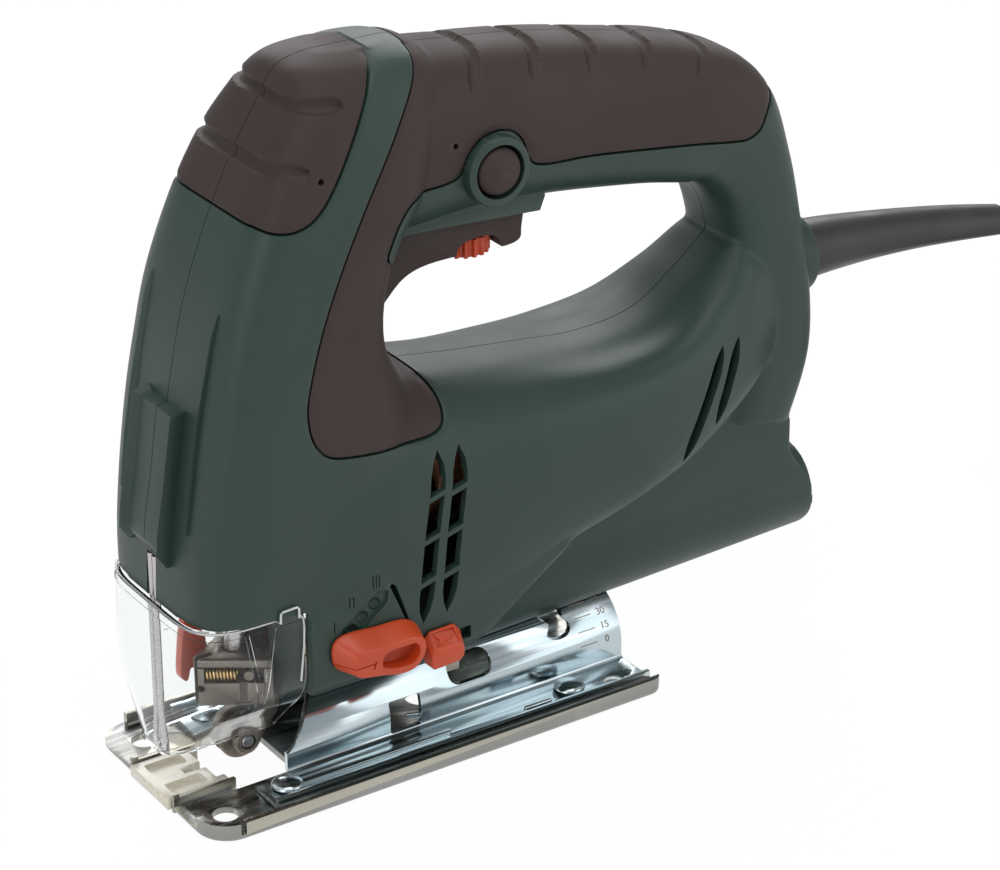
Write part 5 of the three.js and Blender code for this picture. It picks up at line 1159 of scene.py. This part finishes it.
def across_clamp(piece):
    """Moves a piece drawn in front of the plunger's axis round to the clamp's flat face."""
    piece.data.transform(Matrix.Translation(Vector((PLUNGER_X, 0, 0)) * MM) @ Matrix.Rotation(CLAMP_TURN, 4,
                                                                                              "Z"))
    return piece


def blade_clamp():
    outline = [(-60.6, -1.4), (-44.4, -12.2), (-42.6, -12.2), (-42.6, 12.2), (-44.4, 12.2), (-60.6, 1.4)]
    clamp = softened(slab("blade_clamp_look", outline, CLAMP_LOW, CLAMP_TOP, "z"), 0.7, 3)
    face = CLAMP_FACE
    tools = [
        rod("socket", 3.8, 31, 44, "z", (PLUNGER_X, 0)),
        block("blade_slot", -64, -55.3, -0.9, 0.9, 20, 44),
        block("fork_room", -46.4, -40, -8.2, 8.2, 20, 29),
        across_clamp(block("rail_line", -12, 12, face - 3, face + 0.7, 36, 36.6)),
        across_clamp(block("recess", -8.2, 8.6, face - 3, face + 3.4, 31.4, 36.1)),
        across_clamp(block("post_line", 1.6, 3.9, face - 3, face + 0.5, 24.6, 31.5)),
        across_clamp(block("foot_line", 0.4, 5.1, face - 3, face + 0.4, 24.6, 25.6)),
        across_clamp(rod("side_hole", 1.1, face - 3, face + 3, "y", (-9.2, 29.6), 24)),
    ]
    cut(clamp, *tools)
    unite(clamp, across_clamp(rod("stud", 1.5, face - 0.2, face + 4, "y", (4.4, 33.8), 24)))
    placed(softened(clamp, 0.18, 2, 45), "dark_steel", "blade_carrier", "blade_clamp")
    turns, radius, wire = 9, 1.65, 0.32
    line = []
    for k in range(turns * 20 + 1):
        angle = 2 * math.pi * k / 20
        line.append((-7.8 + 8.6 * k / (turns * 20), face + 1.4 + radius * math.cos(angle),
                     33.8 + radius * math.sin(angle)))
    placed(across_clamp(tube("clamp_spring_look", line, wire, 10)), "brass", "blade_carrier", "clamp_spring")
    plunger = turned("plunger_look", [(0, 31.3), (3.1, 31.3), (3.5, 31.7), (3.5, 137), (3.2, 137.5),
                                      (0, 137.5)], "z", (PLUNGER_X, 0), 48)
    placed(plunger, "steel", "blade_carrier", "plunger")


def release_lever():
    outline = wavy([(-51.4, 66), (-51.4, 58), (-52.4, 44), (-50.6, 31), (-51.6, 25.6), (-53.4, 24.6),
                    (-54.4, 28.2), (-56, 28.8),
                    (-57.4, 25), (-59, 26.4), (-58.6, 36), (-57.4, 48), (-58.6, 58), (-58.6, 66)])
    lever = softened(slab("release_lever_look", outline, 11.2, 14.2), 0.8, 4)
    cut(lever, rod("eye", 1.9, 0, 30, "y", RELEASE_PLACE, 32))
    placed(lever, "control_red", "release", "release_lever")


def guide_roller():
    outline = corner(-48.5, 11, 3.9, 140, 325, 14) + [(-38.6, 20), (-34.4, 29), (-33, 36)]
    arm = outline + [(-32.8, 37.1), (-19, 37.5), (-12.5, 38.1), (-12.5, 41.1), (-30.6, 41.1), (-32.4, 46),
                     (-32.6, 54), (-34, 56.4),
                     (-38, 56.4), (-39.6, 54), (-39.6, 27), (-43, 21), (-47.6, 16.6)]
    fork = softened(slab("roller_fork_look", arm, -7.1, 7.1), 0.5, 2, 40)
    tools = [block("gap", -60, -31.6, -4, 4, 0, 46), rod("pin_hole", 2.3, -20, 20, "y", ROLLER_PLACE, 32),
             rod("fork_hole", 2.3, -20, 20, "y", FORK_PIN_PLACE, 32)]
    cut(fork, *tools)
    placed(fork, "dark_steel", "fork", "roller_fork")
    r, h = 6.8, 3.5
    profile = [(2.3, -h), (r - 0.8, -h), (r - 0.2, -h + 0.25), (r, -h + 0.7), (r, -1.3), (r - 0.3, -1),
               (r - 1.5, 0), (r - 0.3, 1),
               (r, 1.3), (r, h - 0.7), (r - 0.2, h - 0.25), (r - 0.8, h), (2.3, h)]
    roller = turned("guide_roller_look", profile, "y", ROLLER_PLACE, 72)
    cut(roller, rod("bore", 2.3, -9, 9, "y", ROLLER_PLACE, 32))
    placed(roller, "dark_steel", "roller", "guide_roller")
    for name, half, x, z in (("roller_pin", 7.1, *ROLLER_PLACE), ("fork_pin", 11, *FORK_PIN_PLACE)):
        pin = turned(f"{name}_look", [(0, -half), (1.7, -half), (2, -half + 0.3), (2, half - 0.3),
                                      (1.7, half), (0, half)], "y", (x, z), 32)
        placed(pin, "steel", "fork" if name == "roller_pin" else "saw", name)


def guard_wire():
    s, x = 1.3, -71.8
    line = [(-s, 75), (-s, 62), (-s, 48), (-s, 34), (-s, 26), (-2.1, 20), (-2.6, 16), (-1.4, 13.6)]
    line += [(-y, z) for y, z in line[::-1]]
    placed(tube("guard_wire_look", smooth_line([(x, y, z) for y, z in line], 8), 0.93, 20), "steel", "saw",
           "guard_wire")


# Clear chip cover: height, front x, half width.
COVER_LEVELS = [[61.2, -74.2, 28.6], [50, -74.8, 28.6], [40, -75.2, 28.4], [33, -75.4, 25.4],
                [24, -75.4, 17], [15.2, -75.2, 8.8]]
COVER_WALL, COVER_BACK = 1.2, -41.5


def cover_form(inset, steps=40, around=120):
    rings = []
    turn = (np.arange(around) + 0.5) * 2 * math.pi / around
    c, s = np.cos(turn), np.sin(turn)
    for k in range(steps + 1):
        z, front, half = between(COVER_LEVELS, k / steps)
        level = z + (1 if k == 0 else -1 if k == steps else 0) * (inset > 0)
        reach = np.where(c < 0, -44 - front - inset, 20)
        rings.append(np.stack([-44 + reach * power(c, 0.4), (half - inset) * power(s, 0.4), np.full(around,
            level)], 1))
    return loft("cover", rings)


def clear_cover():
    cover = cover_form(0)
    cover.name = "clear_cover_look"
    cut(cover, cover_form(COVER_WALL))
    rim = cut(cover_form(-0.35), cover_form(COVER_WALL))
    bands = unite(block("band_top", -90, 20, -60, 60, 58.8, 62), block("band_low", -90, 20, -60, 60, 14,
                                                                       16.6))
    rib = [(-60.4, 60), (-59.2, 60), (-55.2, 38), (-51.8, 60), (-50.6, 60), (-54.6, 34), (-55.9, 34)]
    unite(bands, slab("rib", rib, -32, -20), slab("rib", rib, 20, 32))
    combine(rim, bands, "INTERSECT")
    unite(cover, rim)
    cut(cover, block("open", COVER_BACK, 20, -60, 60, -10, 90))
    placed(cover, "clear_plastic", "cover", "clear_cover", sharp=28)
    # A pale grey tube along the cover's top edge and down its tabs: a painted highlight standing in for the
    # light caught on the clear cover's edge.
    edge = []
    for k in range(61):
        t = math.pi * (0.5 + k / 60)
        c, s = math.cos(t), math.sin(t)
        edge.append((-44 - 29.9 * power(-c, 0.4) if c < -0.01 else -44, 28.9 * power(s, 0.4), 61))
    tab = [(-50.7, 61), (-50.6, 61.3), (-50.5, 64), (-50, 64.5), (-45.4, 64.7), (-44.9, 64.2),
           (-44.8, 61.4), (-43.4, 60.8), (-42.2, 59.2), (-41.9, 56.4),
           (-42.2, 50), (-43, 43.6), (-43.4, 40)]
    middle = [p for p in edge if p[0] < -51]
    right = [(x, -31.3 if z > 61.2 else -28.9, z) for x, z in tab]
    line = [(x, -y, z) for x, y, z in right[::-1]] + middle + right
    placed(tube("cover_edge_highlight_look", line, 0.36, 12), "aluminium", "cover")


# ---- controls ----
LEVER_NEAR, LEVER_FAR = -39.8, -32.8
SLIDER_NEAR = -38


def orbit_lever():
    """A chunky arm with a level top, a finger hollow in its near face and a parting line round its nose."""
    far = [(-35.9, 45.4), (-34.2, 42.6), (-26, 39.6), (-16.6, 37.9), (-11.4, 38.9), (-8.6, 42),
           (-7.8, 45.6), (-9, 49.2),
           (-12.6, 51.6), (-22, 52.3), (-33.2, 52.6), (-35.7, 50.6)]
    near = [(-32.3, 44.6), (-31.4, 42.2), (-24.1, 40.4), (-16.6, 38.9), (-12.6, 39.8), (-10.2, 42.6),
            (-9.6, 45.4), (-10.6, 47.8),
            (-13.4, 49), (-21.8, 49.1), (-30.2, 49.1), (-31.9, 48)]
    rings = [[(x, y, z) for x, z in wavy(shape, 8)] for y, shape in ((LEVER_FAR, far),
        (LEVER_FAR - 0.9, far), (LEVER_NEAR, near))]
    lever = softened(loft("orbit_lever_look", rings[::-1]), 0.55, 4, 24)
    hollow = wavy([(-23.8, 43.2), (-23.4, 46.1), (-21.5, 47.3), (-16.5, 47.4), (-13.2, 47.3), (-11.9, 46.1),
                   (-11.8, 43.6),
                   (-13.6, 41.5), (-17.8, 41.2), (-22.4, 42.2)])
    tools = [softened(slab("hollow", hollow, -45, -35.2), 0.5, 2, 50),
             slab("slit", [(-26.4, 43.2), (-25.6, 45.4), (-26, 45.6), (-26.9, 43.4)], -45, LEVER_NEAR + 0.5),
             block("parting", -33.5, -26, -41, LEVER_NEAR + 0.4, 44.7, 45.1),
             slab("nose_parting", [(-37.5, -33), (-35.5, -33.3), (-31.9, -40.3), (-34, -41)], 44.7, 45.1,
                  "z"),
             rod("hub", 3.3, -34.4, -30, "y", (LEVER_X, LEVER_Z), 40)]
    cut(lever, unite(*tools))
    placed(lever, "control_red", "orbit_selector", "orbit_lever")


def blower_slider():
    """A wedge whose sloped top carries a sunk panel with an arrow."""
    far = [(-6.6, 38.4), (-6, 35.2), (4.6, 34.9), (5.8, 36.6), (5.4, 43), (3.4, 45.2), (-4.6, 45), (-6.6, 43)]
    near = [(-6.6, 37.2), (-6, 35.4), (2.6, 35.8), (4, 37.2), (4.2, 39.4), (3, 41), (-5, 41), (-6.6, 39.6)]
    cap = loft("blower_slider_look", [[(x, y, z) for x, z in shape] for y, shape in
                                      ((SLIDER_NEAR, near), (LEVER_FAR - 0.8, far), (LEVER_FAR, far))])
    cap = softened(cap, 0.5, 3, 24)
    panel = softened(block("panel", -4.6, 2.8, -2.2, 2.2, -0.45, 1.5), 0.25, 2)
    arrow = slab("arrow", [(-3.8, -1.6), (2, 0), (-3.8, 1.6), (-2.6, 0)], -0.6, -0.1, "z")
    for piece in (panel, arrow):
        piece.data.transform(Matrix.Translation(Vector((0, -35.5,
            43)) * MM) @ Matrix.Rotation(math.radians(37.6), 4, "X"))
    cut(cap, panel)
    unite(cap, arrow, block("tongue", -3.6, 2.4, -33.5, -29.9, 38.9, 42.1))
    placed(cap, "control_red", "blower", "blower_slider")


def trigger_and_dial():
    outline = wavy([(-4.6, 132.8), (-1.6, 135.8), (3.6, 140.6), (9.6, 142.8), (24, 143.3), (40, 142.9),
                    (42.4, 144.2), (42.7, 147),
                    (42.7, 158.4), (20, 158.5), (-4, 158.5), (-4.9, 150), (-5.1, 140)], 5)
    body = softened(slab("trigger_look", outline, -TRIGGER_HALF, TRIGGER_HALF), 1.2, 4, 30)
    scoop = wavy([(20.6, 136), (20.8, 143), (22.4, 146.2), (28.5, 147.6), (34.6, 146.2), (36.2, 143),
                  (36.4, 136)], 5)
    cut(body, slab("scoop", scoop, -20, 20), rod("post_hole", 2.3, 140, 152, "z", DIAL_PLACE, 32))
    unite(body, block("post", 29, 35, -3, 3, 156.5, 169))
    placed(body, "soft_grip", "trigger", "trigger")
    rim, knurls = [], 18
    for k in range(knurls):
        for radius, part in ((7.0, 0.02), (7.8, 0.12), (8, 0.2), (8, 0.44), (7.8, 0.52), (7.0, 0.62)):
            angle = 2 * math.pi * (k + part) / knurls
            rim.append((28.5 + radius * math.cos(angle), radius * math.sin(angle)))
    wheel = softened(slab("speed_dial_look", rim, 141, 146.4, "z"), 0.25, 2, 50)
    unite(wheel, rod("stem", 2, 146, 151.6, "z", DIAL_PLACE, 32))
    placed(wheel, "control_red", "dial", "speed_dial")


def lock_button():
    r, y = LOCK_RADIUS, LOCK_FACE
    dome = [(r * math.cos(t), y + 1.6 - 4.2 * math.sin(t)) for t in (math.pi / 2 * k / 14 for k in range(14))]
    profile = [(0, -13.4), (r, -13.4), (r, y + 1.6)] + dome[1:] + [(0, y - 2.6)]
    placed(turned("lock_button_look", profile, "y", (LOCK_X, LOCK_Z), 72), "soft_grip", "lock", "lock_button")


def housing_screws():
    for i, (x, z) in enumerate(SCREW_PLACES):
        profile = [(0, -8.5), (1.2, -8.5), (1.9, -7.6), (1.9, 10.3), (3.6, 10.3), (3.6, 12.2), (3.1, 12.9),
                   (2.4, 13), (0, 13)]
        screw = turned(f"housing_screw_{i + 1}_look", profile, "y", (x, z), 40)
        star = [((1.75 + 0.35 * math.cos(6 * t)) * math.cos(t), (1.75 + 0.35 * math.cos(6 * t)) * math.sin(t))
                for t in (2 * math.pi * k / 48 for k in range(48))]
        cut(screw, slab("star", [(x + a, z + b) for a, b in star], 11.4, 14))
        placed(screw, "steel", "saw", f"housing_screw_{i + 1}")


# ---- cord ----
CORD_DIAMETER = 7.2
SLEEVE_ROWS = [(134, 0, 11.9), (137, 0, 11.9), (137.01, 0, 9.4), (147, 0, 9.4), (160, 0.04, 8.5),
               (175, 0.16, 7.5), (192, 0.36, 6.6),
               (210, 0.64, 5.8), (229, 1, 4.9)]
SLEEVE_DROP = 8.6
CORD_ROUTE = [
    (230.2, 0, 103.2), (236, 0, 101.6), (243, 0, 98.2), (249.5, 0.1, 92.6), (254.4, 0.6, 84.6), (257.5, 1.9,
                                                                                                 75),
    (260.2, 3.3, 64.6), (263.2, 5, 54), (266.9, 7.1, 44.2), (271.6, 9.8, 35.8), (277.4, 13.1, 29.6), (283,
        16.2, 26.9),
]
COIL_X, COIL_Y, COIL_MEAN, LANE = 309, -16.3, 41, 7.4
# The cord lands on the coil at this angle, slides off its middle lane,
# and its turns change lanes from STEP_AT on.
COIL_START, SLIDE, STEP_AT = 120, 55, 300
# The lane of each turn: -1 inner, 1 outer; layer 0 is the lowest.
COIL_LANES = [(1, 2), (1, 1), (1, 0), (0, 0), (-1, 0), (-1, 1), (0, 1), (0, 2), (-1, 2)]
COIL_LIFT = 0.55  # the tie's thickness, under the lowest turns
TAIL_RISE = (255, 388)  # the last turn climbs onto the coil between these angles
PLUG_Z = 31.8


def eased(t):
    t = min(max(t, 0), 1)
    return t * t * (3 - 2 * t)


def coil_point(travel):
    """Radius and height at an angle of travel along the winding, in degrees."""
    turn = min(int(travel // 360), len(COIL_LANES) - 1)
    here = travel - 360 * turn
    lane, layer = COIL_LANES[turn]
    radius, height = COIL_MEAN + lane * LANE, CORD_DIAMETER / 2 + COIL_LIFT + layer * LANE
    if turn == 0 and here < SLIDE:
        angle = math.radians(90 * eased(here / SLIDE))
        return COIL_MEAN + LANE * math.sin(angle), height + LANE * math.cos(angle)
    if turn == len(COIL_LANES) - 1:
        start, end = TAIL_RISE
        return radius, height + (PLUG_Z - height) * eased((here - start) / (end - start))
    if here > STEP_AT:
        share = (here - STEP_AT) / (360 - STEP_AT)
        lane_2, layer_2 = COIL_LANES[turn + 1]
        bulge = 0.46 * LANE * math.sin(math.pi * share) * (lane or 1) * (layer != layer_2)
        radius += (lane_2 - lane) * LANE * eased(share) + bulge
        height += (layer_2 - layer) * LANE * eased(share)
    return radius, height


def cord_line():
    points = [tuple(p) for p in smooth_line(CORD_ROUTE, 2)]
    end = 360 * len(COIL_LANES) + COIL_START - 90
    steps = round(end / 7.5)
    for k in range(steps + 1):
        radius, height = coil_point(end * k / steps)
        angle = math.radians(COIL_START - end * k / steps)
        points.append((COIL_X + radius * math.cos(angle), COIL_Y + radius * math.sin(angle), height))
    return points + [(COIL_X + 6, points[-1][1], PLUG_Z)]


def make_cord():
    line = cord_line()
    curve = bpy.data.curves.new("cord_look", "CURVE")
    curve.dimensions, curve.bevel_depth, curve.bevel_resolution = "3D", CORD_DIAMETER / 2 * MM, 5
    curve.use_fill_caps, curve.resolution_u = True, 1
    spline = curve.splines.new("POLY")
    spline.points.add(len(line) - 1)
    for point, place in zip(spline.points, line):
        point.co = (*(Vector(place) * MM), 1)
    cord = new_object("cord_look", curve)
    placed(cord, "black_plastic", "saw", "cord", "cord_coil")
    plug = make_plug()
    tie = make_tie()


def make_sleeve():
    rings = []
    rows = list(SLEEVE_ROWS[:3]) + [tuple(p) for p in smooth_line(SLEEVE_ROWS[3:], 8)]
    for x, drop, radius in rows:
        rings.append([(x, radius * math.cos(t), CORD_Z - drop * SLEEVE_DROP + radius * math.sin(t))
                      for t in full_turn(48)])
    sleeve = loft("strain_relief_look", rings)
    placed(softened(sleeve, 0.6, 3, 40), "black_plastic", "saw", "strain_relief")


def make_plug():
    """A flat contour plug with two round pins, lying on the coil along its inner turn."""
    y = COIL_Y + COIL_MEAN - CORD_DIAMETER
    rows = [(0, 4.3, 4.3), (4, 4.5, 4.4), (10, 5.4, 5.2), (17, 6.2, 6), (20, 7.4, 6.6), (24, 15, 8.6),
            (27, 18.2, 9.2), (32, 18.4, 9.3),
            (40, 18.4, 9.3), (44, 18.2, 9.1), (45.4, 17.6, 8.6), (46, 16.6, 7.8)]
    rings = []
    for along, half_y, half_z in (between(rows, k / 66) for k in range(67)):
        turn = np.arange(64) * 2 * math.pi / 64
        rings.append(np.stack([np.full(64, COIL_X + along), y + half_y * power(np.cos(turn), 0.8),
                               PLUG_Z + half_z * power(np.sin(turn), 0.8)], 1))
    plug = loft("plug_look", rings)
    for dy in (-9.5, 9.5):
        profile = [(0, 45), (2.4, 45), (2.4, 63.8), (1.9, 65), (0, 65)]
        pin = turned("pin", profile, "x", (y + dy, PLUG_Z), 32)
        pin.data.transform(Matrix.Translation(Vector((COIL_X, 0, 0)) * MM))
        unite(plug, pin)
    return placed(plug, "black_plastic", "saw", "plug")


def make_tie():
    """A strap round the coil's bundle."""
    angle = math.radians(-103)

    def hull(name, grow, half_width):
        bm = bmesh.new()
        for lane, layer in COIL_LANES:
            for k in range(24):
                t = 2 * math.pi * k / 24
                reach = CORD_DIAMETER / 2 + grow
                radius = COIL_MEAN + lane * LANE + reach * math.cos(t)
                height = CORD_DIAMETER / 2 + COIL_LIFT + layer * LANE + reach * math.sin(t)
                for across in (-half_width, half_width):
                    bm.verts.new(Vector((radius, across, height)) * MM)
        result = bmesh.ops.convex_hull(bm, input=bm.verts)
        bmesh.ops.delete(bm, geom=list(set(result["geom_interior"]) | set(result["geom_unused"])),
                         context="VERTS")
        bmesh.ops.recalc_face_normals(bm, faces=bm.faces)
        mesh = bpy.data.meshes.new(name)
        bm.to_mesh(mesh)
        bm.free()
        return new_object(name, mesh)

    strap = cut(hull("cord_tie_look", 0.5, 6), hull("inside", 0.05, 8))
    strap.data.transform(Matrix.Translation(Vector((COIL_X, COIL_Y, 0)) * MM) @ Matrix.Rotation(angle, 4,
                                                                                                "Z"))
    return placed(strap, "black_plastic", "saw")


make_camera()
make_world()
make_floor()
light_studio()
dress_cad_nodes()
make_cord()
make_sleeve()
make_shells()
for make in (base_plate, bevel_bracket, degree_scale, base_clamp, splinter_insert, blade_clamp,
             release_lever, guide_roller, guard_wire,
             clear_cover, orbit_lever, blower_slider, trigger_and_dial, lock_button, housing_screws):
    make()

bpy.context.scene.view_settings.view_transform = "Standard"
